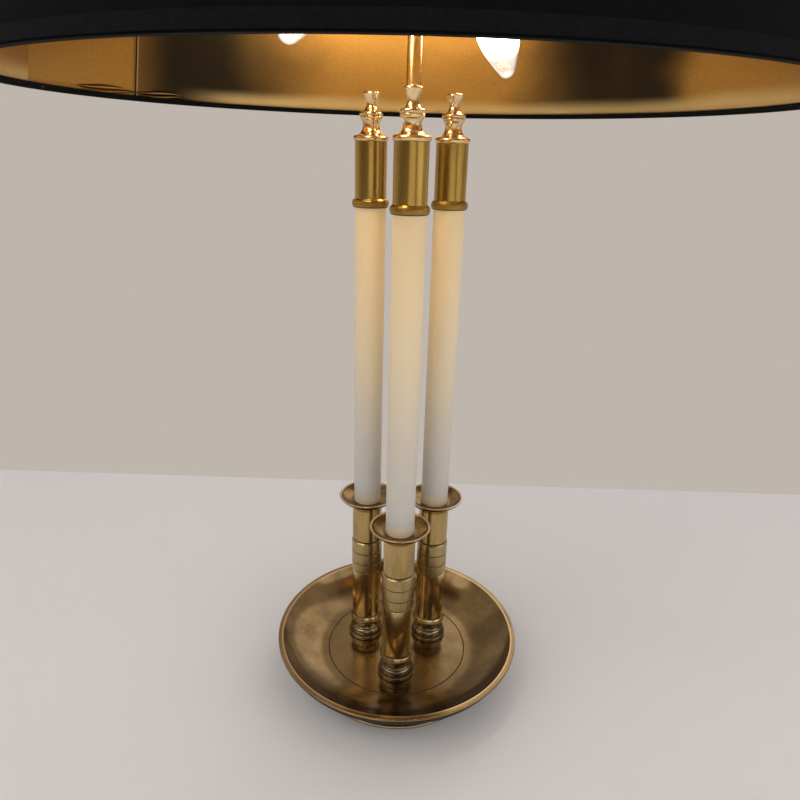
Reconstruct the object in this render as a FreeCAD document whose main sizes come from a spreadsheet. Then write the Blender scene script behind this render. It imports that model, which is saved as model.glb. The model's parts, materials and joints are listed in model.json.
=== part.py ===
import FreeCAD, Part
import math
import os
from types import SimpleNamespace

import Sketcher

# Three-candle bouillotte lamp. Millimetres, +Z up, origin on the table under the lamp's axis.
# The front candle stands towards -Y, the cord leaves towards +Y.

DIMENSIONS = {
    # felt, cover, foot ring and ballast under the dish
    "felt_thickness": 2.0,
    "cover_thickness": 1.2,
    "seat_gap": 0.2,
    "foot_lip_radius": 81.4,
    "foot_lip_height": 3.2,
    "foot_lift": 0.8,
    "foot_wall_radius": 78.4,
    "foot_wall": 4.0,
    "cover_radius": 77.0,
    "ballast_radius": 71.0,
    "ballast_bore": 15.0,
    "ballast_thickness": 11.0,
    "ballast_slot": 8.0,
    # dish
    "dish_floor": 22.0,
    "dish_floor_thickness": 2.4,
    "dish_flat_radius": 66.0,
    "dish_seat_radius": 81.0,
    "dish_lip_width": 4.4,
    "dish_lip_thickness": 2.6,
    "dish_radius": 110.0,
    "dish_rim": 41.7,
    "dish_edge_fillet": 0.8,
    "engraving_radius": 63.8,
    "engraving_width": 0.5,
    "engraving_depth": 0.4,
    # cord inlet in the back of the foot ring, and the flex inside the lamp
    "inlet_height": 10.5,
    "inlet_bore": 3.0,
    "inlet_wall": 1.5,
    "inlet_flange_radius": 6.4,
    "inlet_flange": 1.8,
    "inlet_inner_reach": 3.0,
    "inlet_spotface": 0.4,
    "flex_radius": 2.2,
    "flex_bend": 10.0,
    "flex_slot_gap": 0.6,
    "flex_notch_top": 16.5,
    # central stem
    "stem_radius": 5.0,
    "stem_bore": 4.0,
    "stem_foot": 4.4,
    "stem_height": 795.0,
    "stem_flange_radius": 9.6,
    "stem_flange_height": 8.0,
    "locknut_across": 17.0,
    "locknut_height": 4.4,
    # the three candles
    "candle_circle_radius": 34.7,
    "rod_radius": 2.0,
    "rod_gap": 0.15,
    "rod_tail": 4.2,
    "rod_nut_across": 7.0,
    "rod_nut_height": 3.2,
    "spigot_gap": 0.1,
    "spigot_depth": 5.0,
    "tube_wall": 1.5,
    "candle_foot_radius": 16.3,
    "candle_foot_rim": 3.8,
    "candle_foot_torus": 15.2,
    "candle_foot_torus_top": 10.4,
    "candle_foot_neck": 11.6,
    "candle_foot_height": 18.8,
    "lower_column_radius": 13.0,
    "lower_column_bead": 14.8,
    "bead_height": 2.6,
    "bead_flare": 6.0,
    "lower_column_length": 54.1,
    "collar_radius": 13.75,
    "collar_length": 32.9,
    "collar_bevel": 1.4,
    "collar_bore": 8.0,
    "collar_groove": 0.8,
    "collar_groove_low": 10.4,
    "collar_groove_high": 21.2,
    "upper_column_radius": 13.1,
    "upper_column_length": 32.7,
    "cup_floor_height": 7.0,
    "cup_rim_radius": 25.0,
    "cup_height": 12.0,
    "cup_wall": 1.3,
    "cup_lip": 1.9,
    "sleeve_radius": 11.9,
    "sleeve_wall": 1.8,
    "sleeve_length": 252.2,
    "cap_bead_radius": 14.1,
    "cap_bead": 5.9,
    "cap_radius": 12.0,
    "cap_wall": 1.2,
    "cap_length": 46.9,
    "finial_flange_radius": 13.3,
    "finial_flange": 3.8,
    "finial_slope_radius": 10.2,
    "finial_step": 0.9,
    "finial_neck_radius": 5.7,
    "finial_neck": 9.9,
    "finial_bowl_radius": 7.9,
    "finial_bowl": 15.6,
    "finial_bead_top": 19.4,
    "finial_shoulder_radius": 6.5,
    "finial_waist_radius": 4.1,
    "finial_waist": 24.7,
    "finial_knob_radius": 5.8,
    "finial_knob": 30.6,
    "finial_height": 33.8,
    "finial_thread": 11.0,
    # lamp-holder cluster on the stem
    "lamp_bearing": 46.0,
    "cluster_drop": 170.2,
    "cluster_radius": 17.0,
    "cluster_neck": 9.0,
    "cluster_half": 12.0,
    "arm_radius": 4.0,
    "arm_bore": 2.6,
    "arm_seat": 9.0,
    "arm_bend_start": 35.6,
    "arm_bend": 18.0,
    "arm_tail": 5.0,
    "lamp_tilt": 29.9,
    "shell_radius": 14.2,
    "shell_wall": 0.9,
    "shell_length": 38.0,
    "shell_neck": 6.0,
    "shell_neck_radius": 6.5,
    "liner_base": 10.0,
    "liner_floor": 3.0,
    "liner_bore": 7.15,
    "bulb_cap_radius": 7.0,
    "bulb_cap_length": 26.0,
    "bulb_contact_radius": 3.0,
    "bulb_contact": 2.0,
    "bulb_neck_radius": 8.4,
    "bulb_radius": 17.5,
    "bulb_belly": 70.0,
    "bulb_shoulder_radius": 7.0,
    "bulb_shoulder": 103.0,
    "bulb_tip": 114.0,
    "bulb_wall": 0.8,
    "filament_post_radius": 2.6,
    "filament_post": 18.0,
    "filament_radius": 0.9,
    "filament_length": 34.0,
    "filament_circle_radius": 4.2,
    # turn switch in the side of the cluster
    "knob_radius": 8.0,
    "knob_length": 9.0,
    "knob_shaft_radius": 2.5,
    "knob_shaft_depth": 7.0,
    "knob_stand_off": 0.6,
    "knob_grip_radius": 1.1,
    "running_gap": 0.05,
    # shade
    "shade_drop": 236.4,
    "shade_height": 250.0,
    "shade_bottom_radius": 272.0,
    "shade_top_radius": 222.0,
    "shade_skin": 1.2,
    "shade_lining": 0.4,
    "shade_wire_radius": 1.6,
    "shade_trim": 0.6,
    "shade_trim_height": 7.5,
    "shade_trim_turn_in": 3.0,
    "shade_ring_drop": 6.8,
    "hub_rise": 31.0,
    "hub_thickness": 3.0,
    "hub_radius": 11.5,
    # carriage that slides on the stem and carries the shade
    "carriage_rise": 63.2,
    "carriage_radius": 10.0,
    "carriage_flange_radius": 12.5,
    "carriage_flange": 4.0,
    "spigot_radius": 6.5,
    "spigot_height": 9.0,
    "capnut_radius": 10.0,
    "capnut_gap": 0.2,
    "key_height": 12.0,
    "key_bearing": -60.0,
    "key_shaft_radius": 2.5,
    "key_collar_radius": 4.6,
    "key_collar_start": 11.0,
    "key_collar": 3.0,
    "key_stem_length": 4.0,
    "key_bow_half_width": 9.0,
    "key_bow_half_height": 6.5,
    "key_bow_band": 2.6,
    "key_thickness": 3.0,
    "key_tip_gap": 0.2,
    # finial on the stem's top
    "crown_engagement": 10.0,
    "crown_skirt_radius": 8.0,
    "crown_skirt": 4.0,
    "crown_neck_radius": 6.4,
    "crown_neck": 7.0,
    "crown_urn_radius": 9.6,
    "crown_urn": 14.0,
    "crown_urn_top": 18.4,
    "crown_waist_radius": 4.4,
    "crown_waist": 23.5,
    "crown_knob_radius": 6.4,
    "crown_knob": 30.0,
    "crown_height": 33.6,
    # small steps and edges of the turned profiles
    "edge_round": 0.4,
    "small_step": 0.6,
    "cavetto": 1.2,
    "chamfer": 1.0,
}

CANDLES = {"front": -90.0, "right": 30.0, "left": 150.0}
LAMPS = {"right": 0.0, "left": 180.0}
KNOB_GRIPS = 12
SPIDER_ARMS = 3
FILAMENT_RODS = 4

# How far an arc rises, as a share of half its chord
FLAT_ARC = 0.1
SHALLOW_ARC = 0.2
SOFT_ARC = 0.3
QUARTER_ARC = math.tan(math.radians(90) / 4)
DEEP_ARC = 0.65
ROUND_ARC = 0.85
DISH_SIDE_ARC = 0.235
BULB_SHOULDER_ARC = 0.13
BULB_TIP_ARC = 0.05

doc = FreeCAD.newDocument("BouillotteLamp")
sheet = doc.addObject("Spreadsheet::Sheet", "Sizes")


class Size:
    """A length or angle: its value now, and the expression that ties it to the sheet."""

    def __init__(self, value, text):
        self.value = value
        self.text = text

    def _join(self, other, sign, value):
        return Size(value, f"({self.text} {sign} {as_size(other).text})")

    def __add__(self, other):
        return self._join(other, "+", self.value + as_size(other).value)

    def __sub__(self, other):
        return self._join(other, "-", self.value - as_size(other).value)

    def __mul__(self, other):
        return self._join(other, "*", self.value * as_size(other).value)

    def __truediv__(self, other):
        return self._join(other, "/", self.value / as_size(other).value)


def as_size(number):
    """Let a plain number stand in an expression beside a size."""
    if isinstance(number, Size):
        return number
    return Size(float(number), repr(float(number)))


def cosine(angle):
    return Size(math.cos(math.radians(angle.value)), f"cos({angle.text})")


def sine(angle):
    return Size(math.sin(math.radians(angle.value)), f"sin({angle.text})")


def distance(run, rise):
    length = math.hypot(run.value, rise.value)
    return Size(length, f"sqrt({run.text} ^ 2 + {rise.text} ^ 2)")


def slope(run, rise):
    angle = math.degrees(math.atan2(rise.value, run.value))
    return Size(angle, f"(atan2({rise.text}; {run.text}) / 1 deg)")


def fill_sheet():
    """Write each driving dimension as a plain number with its name as alias."""
    sizes = {}
    for row, (name, value) in enumerate(DIMENSIONS.items(), start=1):
        sheet.set(f"A{row}", name)
        sheet.set(f"B{row}", str(value))
        sheet.setAlias(f"B{row}", name)
    doc.recompute()
    for name in DIMENSIONS:
        sizes[name] = Size(float(getattr(sheet, name)), f"Sizes.{name}")
    return SimpleNamespace(**sizes)


size = fill_sheet()
zero = as_size(0)


def origin_feature(body, role):
    for feature in body.Origin.OriginFeatures:
        if feature.Role == role:
            return feature
    raise ValueError(role)


def new_body(label):
    body = doc.addObject("PartDesign::Body", label)
    body.Label = label
    return body


def new_sketch(body, name, role, offset=None):
    """A sketch on one of the body's own planes, moved along the plane's normal by offset."""
    sketch = body.newObject("Sketcher::SketchObject", name)
    sketch.AttachmentSupport = [(origin_feature(body, role), "")]
    sketch.MapMode = "FlatFace"
    if offset is not None:
        sketch.setExpression("AttachmentOffset.Base.z", offset.text)
    return sketch


def pin_point(sketch, edge, end, across, up):
    """Tie one end of an edge to its place, measured from the sketch's origin."""
    if across is zero:
        sketch.addConstraint(Sketcher.Constraint("PointOnObject", edge, end, -2))
    else:
        index = sketch.addConstraint(Sketcher.Constraint("DistanceX", -1, 1, edge, end, across.value))
        sketch.setExpression(f"Constraints[{index}]", across.text)
    if up is zero:
        sketch.addConstraint(Sketcher.Constraint("PointOnObject", edge, end, -1))
    else:
        index = sketch.addConstraint(Sketcher.Constraint("DistanceY", -1, 1, edge, end, up.value))
        sketch.setExpression(f"Constraints[{index}]", up.text)


def arc_between(start, end, bulge):
    """An arc whose rise is bulge times half its chord, to the left of the way when positive."""
    chord = end - start
    half = chord.Length / 2
    rise = abs(bulge) * half
    radius = (half * half + rise * rise) / (2 * rise)
    side = FreeCAD.Vector(-chord.y, chord.x, 0).normalize() * math.copysign(1, bulge)
    centre = (start + end) * 0.5 - side * (radius - rise)
    circle = Part.Circle(centre, FreeCAD.Vector(0, 0, 1), radius)
    ends = [math.atan2(point.y - centre.y, point.x - centre.x) for point in (start, end)]
    if bulge > 0:
        ends.reverse()
    return Part.ArcOfCircle(circle, ends[0], ends[1])


def arc_radius(first, second, bulge):
    half = distance(second[0] - first[0], second[1] - first[1]) / 2
    return half * ((1 + bulge * bulge) / (2 * abs(bulge)))


def outline(sketch, corners, closed=True):
    """Draw lines and arcs through the corners; a third value in a corner bulges the next edge."""
    corners = [(*corner, 0)[:3] for corner in corners]
    points = [FreeCAD.Vector(across.value, up.value, 0) for across, up, _ in corners]
    count = len(corners)
    edges = []
    for index in range(count if closed else count - 1):
        following = (index + 1) % count
        bulge = corners[index][2]
        if bulge:
            edge = sketch.addGeometry(arc_between(points[index], points[following], bulge), False)
            first, last = (2, 1) if bulge > 0 else (1, 2)
            text = arc_radius(corners[index], corners[following], bulge)
            radius = sketch.addConstraint(Sketcher.Constraint("Radius", edge, text.value))
            sketch.setExpression(f"Constraints[{radius}]", text.text)
        else:
            edge = sketch.addGeometry(Part.LineSegment(points[index], points[following]), False)
            first, last = 1, 2
        edges.append((edge, first, last))
    for index, (edge, first, last) in enumerate(edges):
        pin_point(sketch, edge, first, corners[index][0], corners[index][1])
        if closed or index + 1 < len(edges):
            after = edges[(index + 1) % len(edges)]
            sketch.addConstraint(Sketcher.Constraint("Coincident", edge, last, after[0], after[1]))
    if not closed:
        edge, first, last = edges[-1]
        pin_point(sketch, edge, last, corners[-1][0], corners[-1][1])


def circle_at(sketch, across, up, radius):
    centre = FreeCAD.Vector(across.value, up.value, 0)
    edge = sketch.addGeometry(Part.Circle(centre, FreeCAD.Vector(0, 0, 1), radius.value), False)
    index = sketch.addConstraint(Sketcher.Constraint("Radius", edge, radius.value))
    sketch.setExpression(f"Constraints[{index}]", radius.text)
    pin_point(sketch, edge, 3, across, up)


def revolve(body, name, corners, kind="PartDesign::Revolution"):
    """Turn an outline of (radius, height) corners about the body's own Z axis."""
    sketch = new_sketch(body, name + "_profile", "XZ_Plane")
    outline(sketch, corners)
    feature = body.newObject(kind, name)
    feature.Profile = sketch
    feature.ReferenceAxis = (sketch, ["V_Axis"])
    feature.Angle = 360
    return feature


def turned(label, corners):
    body = new_body(label)
    revolve(body, label + "_turning", corners)
    return body


def cut_through(body, sketch, name, midplane=False, backwards=False, depth=None):
    """Pocket the sketch and make sure that it took something away."""
    doc.recompute()
    before = body.Shape.Volume
    pocket = body.newObject("PartDesign::Pocket", name)
    pocket.Profile = sketch
    pocket.Type = "ThroughAll" if depth is None else "Length"
    if depth is not None:
        pocket.setExpression("Length", depth.text)
    pocket.Midplane = midplane
    pocket.Reversed = backwards
    doc.recompute()
    if body.Shape.Volume >= before:
        raise RuntimeError(name + " cuts nothing")
    return pocket


def polar_copies(body, feature, name, count):
    pattern = body.newObject("PartDesign::PolarPattern", name)
    pattern.Originals = [feature]
    pattern.Axis = (origin_feature(body, "Z_Axis"), [""])
    pattern.Angle = 360
    pattern.Occurrences = count
    body.Tip = pattern
    return pattern


def pad_from(body, sketch, name, length, midplane=False):
    pad = body.newObject("PartDesign::Pad", name)
    pad.Profile = sketch
    pad.setExpression("Length", length.text)
    pad.Midplane = midplane
    return pad


def place(item, reach, bearing, height=zero, tip=zero):
    """Stand an item at a reach and bearing from the axis, its own Z tipped outwards by tip."""
    across = (reach * cosine(bearing)).text
    along = (reach * sine(bearing)).text
    turn = f"rotation(vector(0; 0; 1); {bearing.text}) * rotation(vector(0; 1; 0); {tip.text})"
    item.setExpression("Placement", f"placement(vector({across}; {along}; {height.text}); {turn})")


def stand_at(item, bearing):
    place(item, size.candle_circle_radius, bearing)


def cylinder(label, radius, height, base=zero):
    item = doc.addObject("Part::Cylinder", label)
    item.setExpression("Radius", radius.text)
    item.setExpression("Height", height.text)
    item.setExpression("Placement.Base.z", base.text)
    return item


def group(label, members):
    """Several separate solids under one name."""
    item = doc.addObject("Part::Compound", label)
    item.Label = label
    item.Links = members
    return item


def hex_nut(label, across_flats, height, bore, base):
    """A six-sided nut standing on base, its bore along Z."""
    prism = doc.addObject("Part::Prism", label + "_hexagon")
    prism.Polygon = 6
    prism.setExpression("Circumradius", (across_flats / math.sqrt(3)).text)
    prism.setExpression("Height", height.text)
    prism.setExpression("Placement.Base.z", base.text)
    hole = cylinder(label + "_hole", bore, height * 2, base - height / 2)
    nut = doc.addObject("Part::Cut", label)
    nut.Label = label
    nut.Base = prism
    nut.Tool = hole
    return nut


# Levels and radii that several pieces share
dish_underside = size.dish_floor - size.dish_floor_thickness
cover_top = size.felt_thickness + size.cover_thickness
foot_wall_inner = size.foot_wall_radius - size.foot_wall
rod_hole = size.rod_radius + size.rod_gap
lower_column_bore = size.lower_column_radius - size.tube_wall
upper_column_bore = size.upper_column_radius - size.tube_wall
sleeve_bore = size.sleeve_radius - size.sleeve_wall
candle_foot_top = size.dish_floor + size.candle_foot_height
collar_base = candle_foot_top + size.lower_column_length
collar_top = collar_base + size.collar_length
cup_base = collar_top + size.upper_column_length
cup_floor = cup_base + size.cup_floor_height
cup_rim = cup_base + size.cup_height
cap_base = cup_floor + size.sleeve_length
cap_top = cap_base + size.cap_length
cluster_height = size.stem_height - size.cluster_drop
cluster_base = cluster_height - size.cluster_half
cluster_top = cluster_height + size.cluster_half
carriage_base = cluster_top + size.carriage_rise
hub_height = carriage_base + size.hub_rise
shade_base = hub_height - size.shade_drop
shade_top = shade_base + size.shade_height
shade_slope = (size.shade_bottom_radius - size.shade_top_radius) / size.shade_height
crown_base = size.stem_height - size.crown_engagement
bend_end_reach = size.arm_bend_start + size.arm_bend * cosine(size.lamp_tilt)
bend_end_height = cluster_height - size.arm_bend * (as_size(1) - sine(size.lamp_tilt))
bulb_seat = size.liner_base + size.liner_floor
bulb_neck = bulb_seat + size.bulb_cap_length


def felt_pad():
    turned("felt_pad", [
        (zero, zero),
        (size.cover_radius, zero),
        (size.cover_radius, size.felt_thickness),
        (zero, size.felt_thickness),
    ])


def base_cover():
    turned("base_cover", [
        (zero, size.felt_thickness),
        (size.cover_radius, size.felt_thickness),
        (size.cover_radius, cover_top),
        (zero, cover_top),
    ])


def foot_ring():
    """Cast ring with a rounded lip at the table, a ledge for the cover and the cord's hole."""
    recess = size.cover_radius + size.seat_gap
    lip_start = size.foot_lip_radius - size.foot_lip_height / 2
    lip_top = size.foot_lift + size.foot_lip_height
    ring = turned("foot_ring", [
        (recess, size.foot_lift),
        (lip_start, size.foot_lift, -ROUND_ARC),
        (lip_start, lip_top),
        (size.foot_wall_radius, lip_top),
        (size.foot_wall_radius, dish_underside),
        (foot_wall_inner, dish_underside),
        (foot_wall_inner, cover_top),
        (recess, cover_top),
    ])
    hole = new_sketch(ring, "inlet_hole", "XZ_Plane")
    circle_at(hole, zero, size.inlet_height, size.inlet_bore + size.inlet_wall)
    cut_through(ring, hole, "inlet_hole_cut")
    flat_at = size.foot_wall_radius - size.inlet_spotface
    face = new_sketch(ring, "inlet_spotface", "XZ_Plane", flat_at * -1)
    circle_at(face, zero, size.inlet_height, size.inlet_flange_radius + size.seat_gap)
    cut_through(ring, face, "inlet_spotface_cut")


def inlet_length():
    return size.foot_wall - size.inlet_spotface + size.inlet_inner_reach


def cord_bushing():
    """Flanged insulating bush in the back of the foot ring, seated on its flat."""
    barrel = size.inlet_bore + size.inlet_wall
    length = inlet_length()
    bush = turned("cord_bushing", [
        (size.inlet_bore, zero),
        (barrel, zero),
        (barrel, length),
        (size.inlet_flange_radius, length),
        (size.inlet_flange_radius, length + size.inlet_flange / 2),
        (size.inlet_flange_radius - size.inlet_flange / 2, length + size.inlet_flange),
        (size.inlet_bore, length + size.inlet_flange),
    ])
    inner_end = foot_wall_inner - size.inlet_inner_reach
    place(bush, inner_end, as_size(90), size.inlet_height, as_size(90))


def ballast_disc():
    top = cover_top + size.ballast_thickness
    disc = turned("ballast_disc", [
        (size.ballast_bore, cover_top),
        (size.ballast_radius, cover_top),
        (size.ballast_radius, top - size.chamfer),
        (size.ballast_radius - size.chamfer, top),
        (size.ballast_bore, top),
    ])
    half = size.ballast_slot / 2
    slot = new_sketch(disc, "flex_slot", "XY_Plane")
    outline(slot, [
        (half * -1, zero),
        (half, zero),
        (half, size.ballast_radius + size.ballast_slot),
        (half * -1, size.ballast_radius + size.ballast_slot),
    ])
    cut_through(disc, slot, "flex_slot_cut", backwards=True)


def base_dish():
    """Broad spun dish: flat floor, side curving up to a rounded lip, engraved circle."""
    lip_inner = size.dish_radius - size.dish_lip_width
    edge = size.dish_edge_fillet
    dish = turned("base_dish", [
        (size.stem_radius, dish_underside),
        (size.dish_seat_radius, dish_underside, -SOFT_ARC),
        (size.dish_radius - edge, size.dish_rim - size.dish_lip_thickness),
        (size.dish_radius, size.dish_rim - size.dish_lip_thickness + edge),
        (size.dish_radius, size.dish_rim - edge, -QUARTER_ARC),
        (size.dish_radius - edge, size.dish_rim),
        (lip_inner, size.dish_rim, DISH_SIDE_ARC),
        (size.dish_flat_radius, size.dish_floor),
        (size.stem_radius, size.dish_floor),
    ])
    near = size.engraving_radius - size.engraving_width / 2
    far = size.engraving_radius + size.engraving_width / 2
    revolve(dish, "engraved_circle", [
        (near, size.dish_floor + size.engraving_depth),
        (near, size.dish_floor - size.engraving_depth),
        (far, size.dish_floor - size.engraving_depth),
        (far, size.dish_floor + size.engraving_depth),
    ], kind="PartDesign::Groove")
    hole = new_sketch(dish, "rod_hole", "XY_Plane")
    circle_at(hole, zero, size.candle_circle_radius * -1, rod_hole)
    cut = cut_through(dish, hole, "rod_hole_cut", backwards=True)
    polar_copies(dish, cut, "rod_holes", len(CANDLES))


def stem_tube():
    """Drawn tube on the axis, notched at its foot where the flex turns up into it."""
    tube = turned("stem_tube", [
        (size.stem_bore, size.stem_foot),
        (size.stem_radius, size.stem_foot),
        (size.stem_radius, size.stem_height),
        (size.stem_bore, size.stem_height),
    ])
    half = size.flex_radius + size.flex_slot_gap
    notch = new_sketch(tube, "flex_notch", "XY_Plane")
    outline(notch, [
        (half * -1, zero),
        (half, zero),
        (half, size.stem_radius * 2),
        (half * -1, size.stem_radius * 2),
    ])
    cut_through(tube, notch, "flex_notch_cut", backwards=True, depth=size.flex_notch_top)


def stem_flange():
    turned("stem_flange", [
        (size.stem_radius, size.dish_floor),
        (size.stem_flange_radius, size.dish_floor),
        (size.stem_flange_radius, size.dish_floor + size.stem_flange_height / 4, -SOFT_ARC),
        (size.stem_radius + size.tube_wall, size.dish_floor + size.stem_flange_height),
        (size.stem_radius, size.dish_floor + size.stem_flange_height),
    ])


def stem_locknut():
    hex_nut("stem_locknut", size.locknut_across, size.locknut_height, size.stem_radius,
            dish_underside - size.locknut_height)


def lamp_flex():
    """Round flex from the inlet through the base and up the stem to the cluster."""
    flex = new_body("lamp_flex")
    start = foot_wall_inner - size.inlet_inner_reach
    path = new_sketch(flex, "flex_path", "YZ_Plane")
    outline(path, [
        (start, size.inlet_height),
        (size.flex_bend, size.inlet_height, QUARTER_ARC),
        (zero, size.inlet_height + size.flex_bend),
        (zero, cluster_top),
    ], closed=False)
    section = new_sketch(flex, "flex_section", "XZ_Plane", start * -1)
    circle_at(section, zero, size.inlet_height, size.flex_radius)
    sweep_along(flex, "flex_sweep", section, path)


def sweep_along(body, name, section, path):
    pipe = body.newObject("PartDesign::AdditivePipe", name)
    pipe.Profile = section
    pipe.Spine = (path, [f"Edge{index + 1}" for index in range(path.GeometryCount)])
    return pipe


def tie_rods():
    """Three threaded rods that clamp each candle from its finial to the dish."""
    base = dish_underside - size.rod_tail
    top = cap_top + size.finial_thread
    rods = []
    nuts = []
    for name, bearing in CANDLES.items():
        rod = cylinder("tie_rod_" + name, size.rod_radius, top - base)
        place(rod, size.candle_circle_radius, as_size(bearing), base)
        rods.append(rod)
        nut = hex_nut("rod_nut_" + name, size.rod_nut_across, size.rod_nut_height,
                      size.rod_radius, dish_underside - size.rod_nut_height)
        stand_at(nut, as_size(bearing))
        nuts.append(nut)
    group("tie_rods", rods)
    group("tie_rod_nuts", nuts)


def candle_foot(name):
    """Turned foot: rim ring, torus, hollow neck and the spigot that centres the column."""
    base = size.dish_floor
    step = size.small_step
    rim_top = base + size.candle_foot_rim
    spigot = lower_column_bore - size.spigot_gap
    return turned("candle_foot_" + name, [
        (rod_hole, base),
        (size.candle_foot_radius - step, base, -SOFT_ARC),
        (size.candle_foot_radius - step, rim_top),
        (size.candle_foot_torus - step, rim_top),
        (size.candle_foot_torus - step, rim_top + step, -SOFT_ARC),
        (size.candle_foot_neck + size.cavetto, base + size.candle_foot_torus_top, SOFT_ARC),
        (size.candle_foot_neck + step, candle_foot_top - size.cavetto - step),
        (size.lower_column_radius + size.edge_round, candle_foot_top - size.cavetto),
        (size.lower_column_radius + size.edge_round, candle_foot_top),
        (spigot, candle_foot_top),
        (spigot, candle_foot_top + size.spigot_depth),
        (rod_hole, candle_foot_top + size.spigot_depth),
    ])


def lower_column(name):
    bead_root = size.lower_column_bead - size.edge_round
    bead_top = candle_foot_top + size.bead_height
    return turned("lower_column_" + name, [
        (lower_column_bore, candle_foot_top),
        (bead_root, candle_foot_top, -SOFT_ARC),
        (bead_root, bead_top, SHALLOW_ARC),
        (size.lower_column_radius, bead_top + size.bead_flare),
        (size.lower_column_radius, collar_base),
        (lower_column_bore, collar_base),
    ])


def grooved_collar(name):
    """Coupling between the two columns, with a spigot each way and two turned grooves."""
    lower_spigot = lower_column_bore - size.spigot_gap
    upper_spigot = upper_column_bore - size.spigot_gap
    half = size.collar_groove / 2
    corners = [
        (size.collar_bore, collar_base - size.spigot_depth),
        (lower_spigot, collar_base - size.spigot_depth),
        (lower_spigot, collar_base),
        (size.lower_column_radius, collar_base),
        (size.collar_radius, collar_base + size.collar_bevel),
    ]
    for rise in (size.collar_groove_low, size.collar_groove_high):
        height = collar_base + rise
        corners += [
            (size.collar_radius, height - half),
            (size.collar_radius - size.collar_groove, height),
            (size.collar_radius, height + half),
        ]
    corners += [
        (size.collar_radius, collar_top - size.collar_bevel),
        (size.collar_radius - size.collar_bevel, collar_top),
        (upper_spigot, collar_top),
        (upper_spigot, collar_top + size.spigot_depth),
        (size.collar_bore, collar_top + size.spigot_depth),
    ]
    return turned("grooved_collar_" + name, corners)


def upper_column(name):
    recess = size.collar_radius - size.collar_bevel
    recess_top = collar_top + size.collar_groove
    return turned("upper_column_" + name, [
        (upper_column_bore, collar_top),
        (recess, collar_top),
        (recess, recess_top),
        (size.upper_column_radius, recess_top + size.small_step),
        (size.upper_column_radius, cup_base),
        (upper_column_bore, cup_base),
    ])


def drip_cup(name):
    """Flared wax cup: saucer with a rolled lip, a spigot below and one for the sleeve above."""
    lower_spigot = upper_column_bore - size.spigot_gap
    upper_spigot = sleeve_bore - size.spigot_gap
    return turned("drip_cup_" + name, [
        (rod_hole, cup_base - size.spigot_depth),
        (lower_spigot, cup_base - size.spigot_depth),
        (lower_spigot, cup_base),
        (size.upper_column_radius, cup_base, -SHALLOW_ARC),
        (size.cup_rim_radius - size.edge_round, cup_rim - size.cup_wall),
        (size.cup_rim_radius, cup_rim - size.edge_round, -QUARTER_ARC),
        (size.cup_rim_radius - size.edge_round, cup_rim),
        (size.cup_rim_radius - size.cup_lip, cup_rim, SHALLOW_ARC),
        (size.sleeve_radius + size.cup_lip, cup_floor),
        (upper_spigot, cup_floor),
        (upper_spigot, cup_floor + size.spigot_depth),
        (rod_hole, cup_floor + size.spigot_depth),
    ])


def candle_sleeve(name):
    return turned("candle_sleeve_" + name, [
        (sleeve_bore, cup_floor),
        (size.sleeve_radius, cup_floor),
        (size.sleeve_radius, cap_base),
        (sleeve_bore, cap_base),
    ])


def candle_cap(name):
    """Closed brass cap with a rolled bead, a skirt inside the sleeve and a hole for the rod."""
    skirt = sleeve_bore - size.spigot_gap
    skirt_bore = skirt - size.cap_wall
    cap_bore = size.cap_radius - size.cap_wall
    bead_root = size.cap_bead_radius - size.cavetto
    bead_top = cap_base + size.cap_bead
    return turned("candle_cap_" + name, [
        (skirt_bore, cap_base - size.spigot_depth),
        (skirt, cap_base - size.spigot_depth),
        (skirt, cap_base),
        (bead_root, cap_base, -QUARTER_ARC),
        (bead_root, bead_top),
        (size.cap_radius, bead_top + size.small_step),
        (size.cap_radius, cap_top),
        (rod_hole, cap_top),
        (rod_hole, cap_top - size.cap_wall),
        (cap_bore, cap_top - size.cap_wall),
        (cap_bore, cap_base + size.cap_wall * 2),
        (skirt_bore, cap_base + size.cap_wall),
    ])


def candle_finial(name):
    """Turned finial: bevelled flange, hollow neck, bead and flared knob; tapped from below."""
    base = cap_top
    edge = size.finial_flange_radius - size.small_step
    slope_top = base + size.finial_flange
    step = size.finial_step
    return turned("candle_finial_" + name, [
        (size.rod_radius, base),
        (edge, base, -DEEP_ARC),
        (edge, base + size.finial_flange / 2),
        (size.finial_slope_radius, slope_top),
        (size.finial_slope_radius - size.small_step, slope_top, SOFT_ARC),
        (size.finial_neck_radius, base + size.finial_neck, SHALLOW_ARC),
        (size.finial_bowl_radius, base + size.finial_bowl, -DEEP_ARC),
        (size.finial_bowl_radius - size.edge_round, base + size.finial_bead_top),
        (size.finial_shoulder_radius, base + size.finial_bead_top + step, SHALLOW_ARC),
        (size.finial_waist_radius, base + size.finial_waist, FLAT_ARC),
        (size.finial_knob_radius, base + size.finial_knob, -SOFT_ARC),
        (size.finial_knob_radius - step, base + size.finial_height - step, -FLAT_ARC),
        (size.edge_round, base + size.finial_height),
        (zero, base + size.finial_height),
        (zero, base + size.finial_thread),
        (size.rod_radius, base + size.finial_thread),
    ])


def candles():
    makers = (candle_foot, lower_column, grooved_collar, upper_column, drip_cup, candle_sleeve,
              candle_cap, candle_finial)
    for name, bearing in CANDLES.items():
        for make in makers:
            stand_at(make(name), as_size(bearing))


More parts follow.
